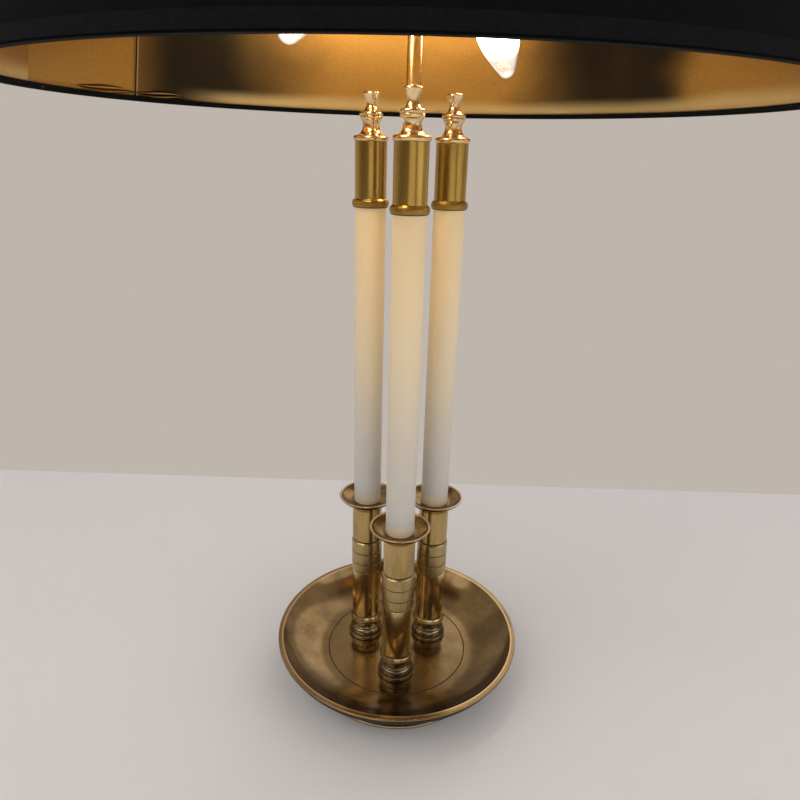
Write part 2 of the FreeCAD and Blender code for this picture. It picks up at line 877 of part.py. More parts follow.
def cluster_body():
    """Turned body on the stem with a cross bore for the arms and one for the switch."""
    land = size.cluster_half / 4
    body = turned("cluster_body", [
        (size.stem_radius, cluster_base),
        (size.cluster_neck, cluster_base, -SOFT_ARC),
        (size.cluster_radius, cluster_height - land),
        (size.cluster_radius, cluster_height + land, -SOFT_ARC),
        (size.cluster_neck, cluster_top),
        (size.stem_radius, cluster_top),
    ])
    arms = new_sketch(body, "arm_bore", "YZ_Plane")
    circle_at(arms, zero, cluster_height, size.arm_radius)
    cut_through(body, arms, "arm_bore_cut", midplane=True)
    inner = size.cluster_radius - size.knob_shaft_depth
    switch = new_sketch(body, "switch_bore", "XZ_Plane", inner)
    circle_at(switch, zero, cluster_height, size.knob_shaft_radius + size.running_gap)
    cut_through(body, switch, "switch_bore_cut", backwards=True)
    place(body, zero, size.lamp_bearing)


def switch_knob():
    """Turn knob with a scalloped grip on a short shaft."""
    face = size.knob_shaft_depth + size.knob_stand_off
    end = face + size.knob_length
    chamfer = size.chamfer
    knob = turned("switch_knob", [
        (zero, zero),
        (size.knob_shaft_radius, zero),
        (size.knob_shaft_radius, face),
        (size.knob_radius - chamfer, face),
        (size.knob_radius, face + chamfer),
        (size.knob_radius, end - chamfer),
        (size.knob_radius - chamfer, end),
        (zero, end),
    ])
    grip = new_sketch(knob, "grip", "XY_Plane")
    circle_at(grip, size.knob_radius + size.edge_round, zero, size.knob_grip_radius)
    cut = cut_through(knob, grip, "grip_cut", backwards=True)
    polar_copies(knob, cut, "grips", KNOB_GRIPS)
    place(knob, size.cluster_radius - size.knob_shaft_depth, size.lamp_bearing - 90,
          cluster_height, as_size(90))


def lamp_arm(name, turn):
    """Bent tube from the cluster that tips its lamp holder down and outwards."""
    arm = new_body("lamp_arm_" + name)
    path = new_sketch(arm, "arm_path_" + name, "XZ_Plane")
    bend = math.tan(math.radians(90 - size.lamp_tilt.value) / 4)
    outline(path, [
        (size.arm_seat, cluster_height),
        (size.arm_bend_start, cluster_height, bend),
        (bend_end_reach, bend_end_height),
        (bend_end_reach + size.arm_tail * sine(size.lamp_tilt),
         bend_end_height - size.arm_tail * cosine(size.lamp_tilt)),
    ], closed=False)
    section = new_sketch(arm, "arm_section_" + name, "YZ_Plane", size.arm_seat)
    circle_at(section, zero, cluster_height, size.arm_radius)
    circle_at(section, zero, cluster_height, size.arm_bore)
    sweep_along(arm, "arm_sweep_" + name, section, path)
    place(arm, zero, size.lamp_bearing + turn)


def hang_lamp(item, turn):
    """Place an item along the lamp's own axis, from the end of the arm's bend."""
    place(item, bend_end_reach, size.lamp_bearing + turn, bend_end_height,
          as_size(180) - size.lamp_tilt)


def socket_shell(name):
    shoulder = size.liner_base
    inner = size.shell_radius - size.shell_wall
    return turned("socket_shell_" + name, [
        (size.arm_radius, zero),
        (size.shell_neck_radius, zero),
        (size.shell_neck_radius, size.shell_neck / 2, SHALLOW_ARC),
        (size.shell_radius, shoulder),
        (size.shell_radius, size.shell_length),
        (inner, size.shell_length),
        (inner, shoulder),
        (size.shell_neck_radius, size.shell_neck),
        (size.arm_radius, size.shell_neck),
    ])


def socket_liner(name):
    """Insulating insert with the bore that takes the bulb's screw cap."""
    outer = size.shell_radius - size.shell_wall
    end = size.shell_length - size.shell_wall
    return turned("socket_liner_" + name, [
        (zero, size.liner_base),
        (outer, size.liner_base),
        (outer, end),
        (size.liner_bore, end),
        (size.liner_bore, bulb_seat),
        (zero, bulb_seat),
    ])


def bulb_cap(name):
    base = bulb_seat
    end = bulb_neck
    contact = base + size.bulb_contact
    return turned("bulb_cap_" + name, [
        (zero, base),
        (size.bulb_contact_radius, base),
        (size.bulb_contact_radius, contact),
        (size.bulb_cap_radius - size.bulb_wall, contact),
        (size.bulb_cap_radius, contact + size.bulb_wall),
        (size.bulb_cap_radius, end - size.bulb_wall),
        (size.bulb_neck_radius, end),
        (zero, end),
    ])


def bulb_glass(name):
    """Thin candle-shaped envelope, open at its neck."""
    wall = size.bulb_wall
    return turned("bulb_glass_" + name, [
        (size.bulb_neck_radius - wall, bulb_neck),
        (size.bulb_neck_radius, bulb_neck, -FLAT_ARC),
        (size.bulb_radius, size.bulb_belly, -BULB_SHOULDER_ARC),
        (size.bulb_shoulder_radius, size.bulb_shoulder, BULB_TIP_ARC),
        (zero, size.bulb_tip),
        (zero, size.bulb_tip - wall * 2, -BULB_TIP_ARC),
        (size.bulb_shoulder_radius - wall, size.bulb_shoulder - wall / 2, BULB_SHOULDER_ARC),
        (size.bulb_radius - wall, size.bulb_belly, FLAT_ARC),
    ])


def bulb_filament(name):
    """Glass post with a foot disc and four upright filament rods."""
    top = bulb_neck + size.filament_post
    seat = size.filament_circle_radius + size.filament_radius * 2
    tag = "_" + name
    parts = [
        cylinder("filament_post" + tag, size.filament_post_radius, size.filament_post, bulb_neck),
        cylinder("filament_seat" + tag, seat, size.filament_radius, top),
    ]
    for index in range(FILAMENT_RODS):
        rod = cylinder(f"filament_rod_{index}" + tag, size.filament_radius, size.filament_length)
        place(rod, size.filament_circle_radius, as_size(360 * index / FILAMENT_RODS), top)
        parts.append(rod)
    fuse = doc.addObject("Part::MultiFuse", "bulb_filament" + tag)
    fuse.Label = "bulb_filament" + tag
    fuse.Shapes = parts
    return fuse


def lamps():
    for name, turn in LAMPS.items():
        lamp_arm(name, turn)
        for make in (socket_shell, socket_liner, bulb_cap, bulb_glass, bulb_filament):
            hang_lamp(make(name), turn)


def skin_radius(height):
    """Outer radius of the shade's skin at a height above the shade's base."""
    return size.shade_bottom_radius - size.shade_trim - shade_slope * height


def wall_band(label, outwards, thickness):
    """A conical shell of the shade's wall, outwards being its depth behind the skin's face."""
    low = size.shade_trim
    high = size.shade_height - size.shade_trim
    return turned(label, [
        (skin_radius(low) - outwards, shade_base + low),
        (skin_radius(high) - outwards, shade_base + high),
        (skin_radius(high) - outwards - thickness, shade_base + high),
        (skin_radius(low) - outwards - thickness, shade_base + low),
    ])


def wire_reach(height):
    """Ring radius of a wire that lies just inside the lining at a height above the base."""
    lining_face = skin_radius(height) - size.shade_skin - size.shade_lining
    return lining_face - size.shade_wire_radius - size.spigot_gap


def shade_ring_bottom():
    ring = new_body("shade_ring_bottom")
    sketch = new_sketch(ring, "bottom_wire", "XZ_Plane")
    height = size.shade_trim + size.shade_wire_radius
    circle_at(sketch, wire_reach(height), shade_base + height, size.shade_wire_radius)
    feature = ring.newObject("PartDesign::Revolution", "bottom_wire_turn")
    feature.Profile = sketch
    feature.ReferenceAxis = (sketch, ["V_Axis"])
    feature.Angle = 360


def shade_trim_bottom():
    """Rolled binding tape around the skin, lining and wire at the bottom edge."""
    trim = size.shade_trim
    height = size.shade_trim_height
    rise = size.edge_round
    inner = wire_reach(trim + size.shade_wire_radius) - size.shade_wire_radius - size.spigot_gap
    leg_top = shade_base + trim + size.shade_wire_radius * 3
    turned("shade_trim_bottom", [
        (size.shade_bottom_radius, shade_base + rise),
        (size.shade_bottom_radius - shade_slope * height, shade_base + height),
        (skin_radius(height), shade_base + height),
        (skin_radius(trim), shade_base + trim),
        (inner, shade_base + trim),
        (inner, leg_top),
        (inner - trim, leg_top),
        (inner - trim, shade_base + rise, -FLAT_ARC),
    ])


def shade_trim_top():
    """Binding tape over the top edge of the skin and lining."""
    trim = size.shade_trim
    height = size.shade_height - size.shade_trim_height
    edge = size.shade_height - trim
    inner = skin_radius(edge) - size.shade_skin - size.shade_lining
    drop = size.shade_trim_turn_in
    turned("shade_trim_top", [
        (size.shade_bottom_radius - shade_slope * height, shade_base + height),
        (size.shade_top_radius, shade_top),
        (inner - trim, shade_top),
        (inner - trim, shade_top - drop),
        (inner, shade_top - drop),
        (inner, shade_base + edge),
        (skin_radius(edge), shade_base + edge),
        (skin_radius(height), shade_base + height),
    ])


def shade_spider():
    """Top ring with three soldered arms and a hub washer that turns on the carriage."""
    wire = size.shade_wire_radius
    ring_height = size.shade_height - size.shade_ring_drop
    reach = wire_reach(ring_height)
    ring = doc.addObject("Part::Torus", "spider_ring")
    ring.setExpression("Radius1", reach.text)
    ring.setExpression("Radius2", wire.text)
    ring.setExpression("Placement.Base.z", (shade_base + ring_height).text)
    parts = [ring, cylinder("spider_hub", size.hub_radius, size.hub_thickness, hub_height)]
    start = (size.hub_radius + size.capnut_radius) / 2
    low = hub_height + wire + size.spigot_gap
    rise = shade_base + ring_height - low
    run = reach - start
    for index in range(SPIDER_ARMS):
        arm = cylinder(f"spider_arm_{index}", wire, distance(run, rise))
        place(arm, start, as_size(90 + 360 * index / SPIDER_ARMS), low, as_size(90) - slope(run, rise))
        parts.append(arm)
    fuse = doc.addObject("Part::MultiFuse", "spider_frame")
    fuse.Shapes = parts
    bore = size.spigot_radius + size.running_gap
    hole = cylinder("spider_hole", bore, size.hub_thickness * 3, hub_height - size.hub_thickness)
    spider = doc.addObject("Part::Cut", "shade_spider")
    spider.Label = "shade_spider"
    spider.Base = fuse
    spider.Tool = hole


def shade_carriage():
    """Collar that slides on the stem: barrel with a boss for the key, flange and spigot."""
    bore = size.stem_radius + size.running_gap
    flange_base = hub_height - size.carriage_flange
    spigot_top = hub_height + size.spigot_height
    body = turned("shade_carriage", [
        (bore, carriage_base),
        (size.carriage_radius, carriage_base),
        (size.carriage_radius, flange_base - size.carriage_flange / 2, SHALLOW_ARC),
        (size.carriage_flange_radius, flange_base),
        (size.carriage_flange_radius, hub_height),
        (size.spigot_radius, hub_height),
        (size.spigot_radius, spigot_top),
        (bore, spigot_top),
    ])
    level = carriage_base + size.key_height
    boss_start = size.carriage_radius - size.key_collar
    boss = new_sketch(body, "key_boss", "YZ_Plane", boss_start)
    circle_at(boss, zero, level, size.key_collar_radius)
    pad_from(body, boss, "key_boss_pad", size.key_collar_start - boss_start)
    hole = new_sketch(body, "key_hole", "YZ_Plane")
    circle_at(hole, zero, level, size.key_shaft_radius + size.running_gap)
    cut_through(body, hole, "key_hole_cut", backwards=True)
    place(body, zero, size.key_bearing)


def carriage_capnut():
    base = hub_height + size.hub_thickness + size.capnut_gap
    top = hub_height + size.spigot_height
    turned("carriage_capnut", [
        (size.spigot_radius, base),
        (size.capnut_radius, base),
        (size.capnut_radius, base + (top - base) / 2, -SOFT_ARC),
        (size.spigot_radius + size.small_step, top),
        (size.spigot_radius, top),
    ])


def clamp_key():
    """Thumb key: shaft that bears on the stem, collar, and an oval pierced bow."""
    start = size.stem_radius + size.key_tip_gap
    collar = size.key_collar_start + size.key_tip_gap - start
    neck = collar + size.key_collar
    stem_end = neck + size.key_stem_length
    stem_tip = stem_end + size.key_bow_band / 2
    slim = size.key_shaft_radius - size.key_tip_gap
    key = turned("clamp_key", [
        (zero, zero),
        (size.key_shaft_radius, zero),
        (size.key_shaft_radius, collar),
        (size.key_collar_radius, collar),
        (size.key_collar_radius, neck - size.small_step),
        (size.key_shaft_radius, neck),
        (slim, neck),
        (slim, stem_tip),
        (zero, stem_tip),
    ])
    bow = new_sketch(key, "bow", "XZ_Plane")
    centre = stem_end + size.key_bow_half_height
    for inset in (zero, size.key_bow_band):
        wide = size.key_bow_half_width - inset
        high = size.key_bow_half_height - inset
        outline(bow, [
            (wide, centre, -QUARTER_ARC),
            (zero, centre + high, -QUARTER_ARC),
            (wide * -1, centre, -QUARTER_ARC),
            (zero, centre - high, -QUARTER_ARC),
        ])
    pad_from(key, bow, "bow_pad", size.key_thickness, midplane=True)
    place(key, start, size.key_bearing, carriage_base + size.key_height, as_size(90))


def stem_finial():
    """Finial screwed over the stem's top, turned to match the candles' finials."""
    base = crown_base
    step = size.finial_step
    turned("stem_finial", [
        (size.stem_radius, base),
        (size.crown_skirt_radius, base),
        (size.crown_skirt_radius, base + size.crown_skirt),
        (size.crown_neck_radius, base + size.crown_skirt + step),
        (size.crown_neck_radius, base + size.crown_neck, SHALLOW_ARC),
        (size.crown_urn_radius - step, base + size.crown_urn, -DEEP_ARC),
        (size.crown_urn_radius - step, base + size.crown_urn_top, SHALLOW_ARC),
        (size.crown_waist_radius, base + size.crown_waist, FLAT_ARC),
        (size.crown_knob_radius, base + size.crown_knob, -SOFT_ARC),
        (size.crown_knob_radius - step, base + size.crown_height - step, -FLAT_ARC),
        (size.edge_round, base + size.crown_height),
        (zero, base + size.crown_height),
        (zero, size.stem_height),
        (size.stem_radius, size.stem_height),
    ])


def check_document():
    """Stop if any object failed, or a sub-part is empty or invalid."""
    for item in doc.Objects:
        if "Invalid" in item.State or "Error" in item.State:
            raise RuntimeError(f"{item.Label} failed: {item.State}")
    for item in sub_parts():
        if item.Shape.isNull() or not item.Shape.isValid() or not item.Shape.Solids:
            raise RuntimeError(f"{item.Label} has no valid solid")


def sub_parts():
    """The bodies and finished part objects: whatever nothing else uses as its input."""
    used = set()
    for item in doc.Objects:
        if item.TypeId.startswith("Part::"):
            used.update(member.Name for member in item.OutList)
    return [item for item in doc.Objects
            if item.TypeId == "PartDesign::Body"
            or (item.TypeId.startswith("Part::") and item.Name not in used)]


def build():
    for make in (felt_pad, base_cover, foot_ring, cord_bushing, ballast_disc, base_dish,
                 stem_tube, stem_flange, stem_locknut, lamp_flex, tie_rods, candles,
                 cluster_body, switch_knob, lamps):
        make()
    wall_band("shade_skin", zero, size.shade_skin)
    wall_band("shade_lining", size.shade_skin, size.shade_lining)
    for make in (shade_ring_bottom, shade_trim_bottom, shade_trim_top, shade_spider,
                 shade_carriage, carriage_capnut, clamp_key, stem_finial):
        make()
    doc.recompute()


def export():
    os.makedirs("parts", exist_ok=True)
    for item in sub_parts():
        item.Shape.exportStep(f"parts/{item.Label}.step")
        centre = item.Shape.CenterOfGravity
        print(f"{item.Label}: {len(item.Shape.Solids)} solid, {item.Shape.Volume / 1000:.2f} cm3, "
              f"centre {centre.x:.1f} {centre.y:.1f} {centre.z:.1f}")


build()
check_document()
export()
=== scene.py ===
"""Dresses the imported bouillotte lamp: turned brass, ivory candle sleeves and a gold-lined shade."""

from __future__ import annotations

import json
import logging
import math
from collections.abc import Mapping, Sequence
from dataclasses import dataclass
from enum import Enum

import bmesh
import bpy
from bmesh.types import BMesh
from mathutils import Matrix, Vector

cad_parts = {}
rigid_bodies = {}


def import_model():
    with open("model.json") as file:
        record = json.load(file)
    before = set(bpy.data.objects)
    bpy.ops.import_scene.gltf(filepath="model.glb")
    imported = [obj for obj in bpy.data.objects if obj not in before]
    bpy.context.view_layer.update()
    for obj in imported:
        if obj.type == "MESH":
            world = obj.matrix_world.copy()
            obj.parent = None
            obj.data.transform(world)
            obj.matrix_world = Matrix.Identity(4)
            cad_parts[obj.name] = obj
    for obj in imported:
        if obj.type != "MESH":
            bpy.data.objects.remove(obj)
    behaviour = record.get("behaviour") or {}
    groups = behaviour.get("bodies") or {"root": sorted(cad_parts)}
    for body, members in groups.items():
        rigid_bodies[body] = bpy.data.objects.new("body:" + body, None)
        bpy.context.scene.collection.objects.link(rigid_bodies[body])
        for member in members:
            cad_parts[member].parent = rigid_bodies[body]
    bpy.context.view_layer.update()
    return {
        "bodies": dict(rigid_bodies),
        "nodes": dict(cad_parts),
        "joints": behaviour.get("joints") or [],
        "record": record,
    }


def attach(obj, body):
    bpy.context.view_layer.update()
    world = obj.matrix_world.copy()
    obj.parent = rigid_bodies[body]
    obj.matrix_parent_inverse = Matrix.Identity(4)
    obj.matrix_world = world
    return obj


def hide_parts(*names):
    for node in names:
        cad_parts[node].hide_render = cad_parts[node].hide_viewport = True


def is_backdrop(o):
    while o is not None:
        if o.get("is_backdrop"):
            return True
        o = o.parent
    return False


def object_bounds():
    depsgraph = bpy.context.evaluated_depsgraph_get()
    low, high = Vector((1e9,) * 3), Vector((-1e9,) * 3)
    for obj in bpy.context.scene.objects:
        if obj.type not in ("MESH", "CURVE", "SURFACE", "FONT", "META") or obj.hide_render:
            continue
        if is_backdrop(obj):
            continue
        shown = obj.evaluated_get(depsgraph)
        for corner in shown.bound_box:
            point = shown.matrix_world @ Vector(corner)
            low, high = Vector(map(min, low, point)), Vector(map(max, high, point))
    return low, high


LOG = logging.getLogger("bouillotte_lamp")
MM = 0.001
FULL_TURN = math.tau
UP = Vector((0.0, 0.0, 1.0))

Colour = tuple[float, float, float]
Point = tuple[float, float, float]
Corner = tuple[float, ...]


def paint(red: int, green: int, blue: int) -> Colour:
    """Give the linear colour of a display colour.

    Args:
        red: Red from 0 to 255.
        green: Green from 0 to 255.
        blue: Blue from 0 to 255.

    Returns:
        The three linear values.
    """
    shares = (channel / 255 for channel in (red, green, blue))
    low, knee = 12.92, 0.04045
    return tuple(s / low if s <= knee else ((s + 0.055) / 1.055) ** 2.4 for s in shares)


# Materials


class Value:
    """A number on a socket, with arithmetic that adds the matching Math nodes."""

    def __init__(self, graph: Graph, socket: bpy.types.NodeSocket) -> None:
        """Wrap a socket of a graph."""
        self.graph = graph
        self.socket = socket

    def __add__(self, other: Value | float) -> Value:
        """Sum with a value or number."""
        return self.graph.math("ADD", self, other)

    __radd__ = __add__

    def __mul__(self, other: Value | float) -> Value:
        """Product with a value or number."""
        return self.graph.math("MULTIPLY", self, other)

    __rmul__ = __mul__

    def __sub__(self, other: Value | float) -> Value:
        """Difference from a value or number."""
        return self.graph.math("SUBTRACT", self, other)

    def __rsub__(self, other: Value | float) -> Value:
        """Difference of a number from this value."""
        return self.graph.math("SUBTRACT", other, self)

    def __pow__(self, other: Value | float) -> Value:
        """This value raised to a power."""
        return self.graph.math("POWER", self, other)

    def __abs__(self) -> Value:
        """The value without its sign."""
        return self.graph.math("ABSOLUTE", self)


class Graph:
    """A node tree under construction."""

    def __init__(self, tree: bpy.types.NodeTree) -> None:
        """Take up a tree."""
        self.tree = tree

    def node(
        self,
        kind: str,
        settings: Mapping[str, object],
        inputs: Mapping[str | int, object],
        output: str | int = 0,
    ) -> Value:
        """Add a node, set it up and fill its sockets.

        Args:
            kind: The node's type name.
            settings: Its own settings.
            inputs: Values or links for its sockets, by name or number.
            output: The output socket that is wanted.

        Returns:
            The wanted output.
        """
        node = self.tree.nodes.new(kind)
        for name, setting in settings.items():
            setattr(node, name, setting)
        for key, value in inputs.items():
            self.feed(node.inputs[key], value)
        return Value(self, node.outputs[output])

    def feed(self, socket: bpy.types.NodeSocket, value: object) -> None:
        """Link a value to a socket, or set a plain number or colour on it.

        Args:
            socket: The input socket.
            value: What it gets.
        """
        if isinstance(value, Value):
            self.tree.links.new(value.socket, socket)
        elif socket.type == "RGBA":
            socket.default_value = (*value[:3], 1.0)
        else:
            socket.default_value = value

    def math(self, operation: str, *values: Value | float) -> Value:
        """One Math node of the operation on the values."""
        return self.node("ShaderNodeMath", {"operation": operation}, dict(enumerate(values)))

    def window(self, value: Value, low: float, high: float) -> Value:
        """Rise smoothly from 0 at low to 1 at high, or fall where low is the larger."""
        inputs = {"Value": value, "From Min": low, "From Max": high}
        return self.node("ShaderNodeMapRange", {"interpolation_type": "SMOOTHSTEP"}, inputs)

    def blend(self, first: Value | Colour, second: Value | Colour, share: Value | float) -> Value:
        """Mix two colours, share 1 giving the second."""
        inputs = {0: share, 6: first, 7: second}
        return self.node("ShaderNodeMix", {"data_type": "RGBA"}, inputs, 2)


class Surface(Graph):
    """A material with one Principled shader, laid out in the lamp's own coordinates."""

    def __init__(self, name: str) -> None:
        """Start a material of that name.

        Args:
            name: The material's name.
        """
        self.material = bpy.data.materials.new(name)
        self.material.use_nodes = True
        super().__init__(self.material.node_tree)
        self.shader = self.tree.nodes["Principled BSDF"]
        self.place = self.node("ShaderNodeTexCoord", {}, {}, "Object")

    def set(self, **sockets: object) -> None:
        """Feed the shader's own sockets, named in lower case with underscores for spaces.

        Args:
            sockets: Values for the sockets.
        """
        names = {name.lower().replace(" ", "_"): name for name in self.shader.inputs.keys()}
        for key, value in sockets.items():
            self.feed(self.shader.inputs[names[key]], value)

    def axis(self, name: str) -> Value:
        """One coordinate, X, Y or Z, of the place on the lamp."""
        return self.node("ShaderNodeSeparateXYZ", {}, {0: self.place}, name)

    def bearing(self) -> Value:
        """The angle round the lamp's axis, in radians."""
        return self.math("ARCTAN2", self.axis("Y"), self.axis("X"))

    def reach(self) -> Value:
        """The distance from the lamp's axis, in metres."""
        return self.math("SQRT", self.axis("X") ** 2.0 + self.axis("Y") ** 2.0)

    def noise(self, density: Point | Value, detail: float = 3.0, rough: float = 0.5) -> Value:
        """Cloudy noise from 0 to 1.

        Args:
            density: Cells per metre along each axis, or ready coordinates.
            detail: Octaves of finer noise.
            rough: How strong the finer octaves are.

        Returns:
            The noise value.
        """
        place = density
        if not isinstance(density, Value):
            place = self.node("ShaderNodeMapping", {}, {"Vector": self.place, "Scale": density})
        inputs = {"Vector": place, "Scale": 1.0, "Detail": detail, "Roughness": rough}
        return self.node("ShaderNodeTexNoise", {}, inputs)

    def specks(self, density: float, size: float, rarity: float) -> Value:
        """Scattered small dots, 1 inside a dot.

        Args:
            density: Cells per metre.
            size: A dot's size as a share of its cell.
            rarity: From 0, a dot in each cell, to 1, none.

        Returns:
            The mask.
        """
        inputs = {"Vector": self.place, "Scale": density}
        near = self.node("ShaderNodeTexVoronoi", {}, inputs, "Distance")
        chosen = self.window(self.noise((density * 0.37,) * 3, 1.0), rarity, rarity + 0.06)
        return self.window(near, size, size * 0.5) * chosen

    def line_at(self, value: Value, level: float, width: float) -> Value:
        """A narrow line where a value meets a level, 1 on the line."""
        return self.window(abs(value - level), width, width * 0.4)

    def relief(self, height: Value, depth: float) -> None:
        """Let a height from 0 to 1 stand out by a depth in millimetres."""
        inputs = {"Height": height, "Distance": depth * MM, "Strength": 1.0}
        self.set(normal=self.node("ShaderNodeBump", {}, inputs))


class Lines(Enum):
    """Which way the fine tool or polish lines run on a brass piece."""

    RINGS = "rings round the lamp's axis"
    BANDS = "level bands of a lathe"
    STREAKS = "upright streaks"


@dataclass(frozen=True)
class Finish:
    """A named finish, laid out on a material of its own."""

    name: str

    def draw(self, surface: Surface) -> None:
        """Lay the finish out on an empty surface."""
        raise NotImplementedError

    def material(self) -> bpy.types.Material:
        """Make the finish's material.

        Returns:
            The material.
        """
        surface = Surface(self.name)
        self.draw(surface)
        return surface.material


@dataclass(frozen=True)
class Brass(Finish):
    """A brass finish, from mirror polish to old patina, with grime in its turned lines."""

    bright: Colour
    dull: Colour
    tarnish: float
    roughness: float
    lines: Lines = Lines.BANDS
    depth: float = 0.0015
    speckle: float = 0.0
    cloud: float = 28.0
    seams: tuple[float, ...] = ()
    seam_width: float = 0.55
    darker_below: float = 0.0
    lit_lip_level: float = 0.0
    lip_highlight_colour: Colour = paint(222, 194, 150)
    painted_highlight_line: float = 0.0
    grime_and_shade: Colour = paint(38, 27, 16)
    blur: float = 0.3

    def grain(self, surface: Surface) -> Value:
        """Give the fine lines that the tool or the polishing left.

        Args:
            surface: The surface under construction.

        Returns:
            The lines' height, from 0 to 1.
        """
        cells = {Lines.BANDS: (26.0, 26.0, 2400.0), Lines.STREAKS: (2300.0, 2300.0, 22.0)}
        place = cells.get(self.lines)
        if place is None:
            inputs = {"X": surface.reach() * 1900.0, "Y": surface.bearing() * 1.2, "Z": 0.0}
            place = surface.node("ShaderNodeCombineXYZ", {}, inputs)
        return surface.noise(place, 3.0, 0.6)

    def marks(self, surface: Surface) -> Value | float:
        """Give the dark lines at the seams' heights and the darkening below a level.

        Args:
            surface: The surface under construction.

        Returns:
            The marks, 1 where the darkening is full.
        """
        height = surface.axis("Z")
        lines = sum(surface.line_at(height, seam * MM, self.seam_width * MM) for seam in self.seams)
        if not self.darker_below:
            return lines
        # Below this level the brass is darkened (the cap's bead).
        level, blur = self.darker_below * MM, self.blur * MM
        return surface.window(height, level + blur, level - blur) * 0.25 + lines

    def tint(self, surface: Surface, worn: Value) -> Value:
        """Give the brass's colour, with a painted highlight along a line and above a level (a lit
        lip).

        Args:
            surface: The surface under construction.
            worn: How worn the brass is, from 0 to 1.

        Returns:
            The colour.
        """
        colour = surface.blend(self.bright, self.dull, worn)
        # Painted highlight: a pale line where light catches a rounded lip.
        if self.painted_highlight_line:
            line = surface.line_at(surface.axis("Z"), self.painted_highlight_line * MM, 0.9 * MM)
            colour = surface.blend(colour, self.lip_highlight_colour, line * 0.8)
        if not self.lit_lip_level:
            return colour
        # Painted highlight: the lip above this level is paler where the light falls on it.
        level = self.lit_lip_level * MM
        lip = surface.window(surface.axis("Z"), level - 0.25 * MM, level + 0.25 * MM)
        return surface.blend(colour, self.lip_highlight_colour, lip * 0.8)

    def draw(self, surface: Surface) -> None:
        """Lay out worn brass: clouds of tarnish, finer stains, tool lines, grime, and the painted
        highlights and shade that a finish adds.

        Args:
            surface: The empty surface of the finish's material.
        """
        grain = self.grain(surface)
        drawn = 0.22 if self.lines is Lines.STREAKS else 1.0
        patch = (self.cloud, self.cloud, self.cloud * drawn)
        cloud = surface.window(surface.noise(patch, 5.0, 0.62), 0.34, 0.70)
        fine = (self.cloud * 5, self.cloud * 5, self.cloud * 5 * drawn)
        stain = surface.window(surface.noise(fine, 4.0, 0.7), 0.55, 0.8)
        worn = cloud * self.tarnish + stain * (self.tarnish * 0.3) + (grain - 0.5) * 0.3
        colour = self.tint(surface, worn)
        roughness, metallic = worn * 0.12 + self.roughness, 1.0
        marks = self.marks(surface)
        if self.speckle:
            dots = surface.specks(260.0, 0.20, 1.0 - self.speckle)
            marks = dots * 0.7 + marks
        if isinstance(marks, Value):
            # The dark colour serves real dirt in joints and dots, and painted shade where a finish
            # adds it.
            colour = surface.blend(colour, self.grime_and_shade, surface.math("MINIMUM", marks, 0.95))
            roughness, metallic = roughness + marks * 0.4, 1.0 - marks * 0.8
        surface.set(base_color=colour, metallic=metallic, roughness=roughness)
        surface.set(specular_ior_level=0.12)
        surface.relief(grain, self.depth)


@dataclass(frozen=True)
class DishBrass(Brass):
    """Satin brass of the dish: an engraved circle, a painted shadow on the underside, a painted dark
    reflection at the front and a painted highlight on the lip.
    """

    engraving: float = 63.8
    slope: float = 0.6915
    start: float = -36.4
    lip_edge: float = 106.1

    def tint(self, surface: Surface, worn: Value) -> Value:
        """Give the brass's colour, with a painted dark reflection at the front, a painted highlight
        on the lip's top and a brighter one along its inner edge.

        Args:
            surface: The surface under construction.
            worn: How worn the brass is, from 0 to 1.

        Returns:
            The colour.
        """
        colour = surface.blend(self.bright, self.dull, worn)
        level = self.lit_lip_level * MM
        lip = surface.window(surface.axis("Z"), level - 0.9 * MM, level - 0.3 * MM)
        # Painted dark reflection: the dish is darkened towards its front.
        front = surface.window(surface.axis("Y"), -0.03, -0.09)
        colour = surface.blend(colour, self.grime_and_shade, front * (1.0 - lip) * 0.45)
        # Painted highlight: a brighter line along the lip's inner edge, over a paler lip top.
        line = surface.line_at(surface.reach(), self.lip_edge * MM, 1.0 * MM)
        return surface.blend(colour, self.lip_highlight_colour, lip * (line * 0.65 + 0.2))

    def marks(self, surface: Surface) -> Value:
        """Give the engraved line and the painted shadow on the underside.

        Args:
            surface: The surface under construction.

        Returns:
            The marks, 1 where the darkening is full.
        """
        reach = surface.reach()
        circle = surface.line_at(reach, self.engraving * MM, 0.62 * MM)
        # Painted shadow: the dish's underside, below its sloping face, is darkened.
        above = surface.axis("Z") - reach * self.slope - self.start * MM
        under = surface.window(above, 1.2 * MM, -0.4 * MM)
        return circle + under * 0.95


@dataclass(frozen=True)
class Ivory(Finish):
    """Ivory satin of the candle sleeves, with painted warm bulb light towards the top."""

    body: Colour
    warm_light_and_mottle: Colour
    glow: Colour
    top: float
    bottom: float
    dust: Colour = paint(120, 100, 80)

    def draw(self, surface: Surface) -> None:
        """Lay out the ivory, its painted warm light at the top, its painted light reflected from the
        cup at its foot, and its dust.

        Args:
            surface: The empty surface of the finish's material.
        """
        height = surface.axis("Z")
        # Painted light: the top is warmed as if lit by the bulbs.
        warm = surface.window(height, self.top - 0.25, self.top - 0.01)
        colour = surface.blend(self.body, self.warm_light_and_mottle, warm)
        # Painted light: warm light bounced from the brass cup near the foot.
        low = surface.window(height, self.bottom + 0.013, self.bottom + 0.004)
        colour = surface.blend(colour, self.glow, low * 0.8)
        mottle = surface.noise((90.0, 90.0, 30.0), 4.0)
        # Random mottle towards the same warm colour.
        colour = surface.blend(colour, self.warm_light_and_mottle, (mottle - 0.5) * 0.3)
        dots = surface.specks(150.0, 0.10, 0.66)
        colour = surface.blend(colour, self.dust, dots * 0.6)
        surface.set(base_color=colour, roughness=(mottle - 0.5) * 0.12 + 0.42)
        surface.set(coat_weight=0.1, coat_roughness=0.3)
        surface.relief(surface.noise((160.0, 160.0, 60.0), 3.0), 0.05)


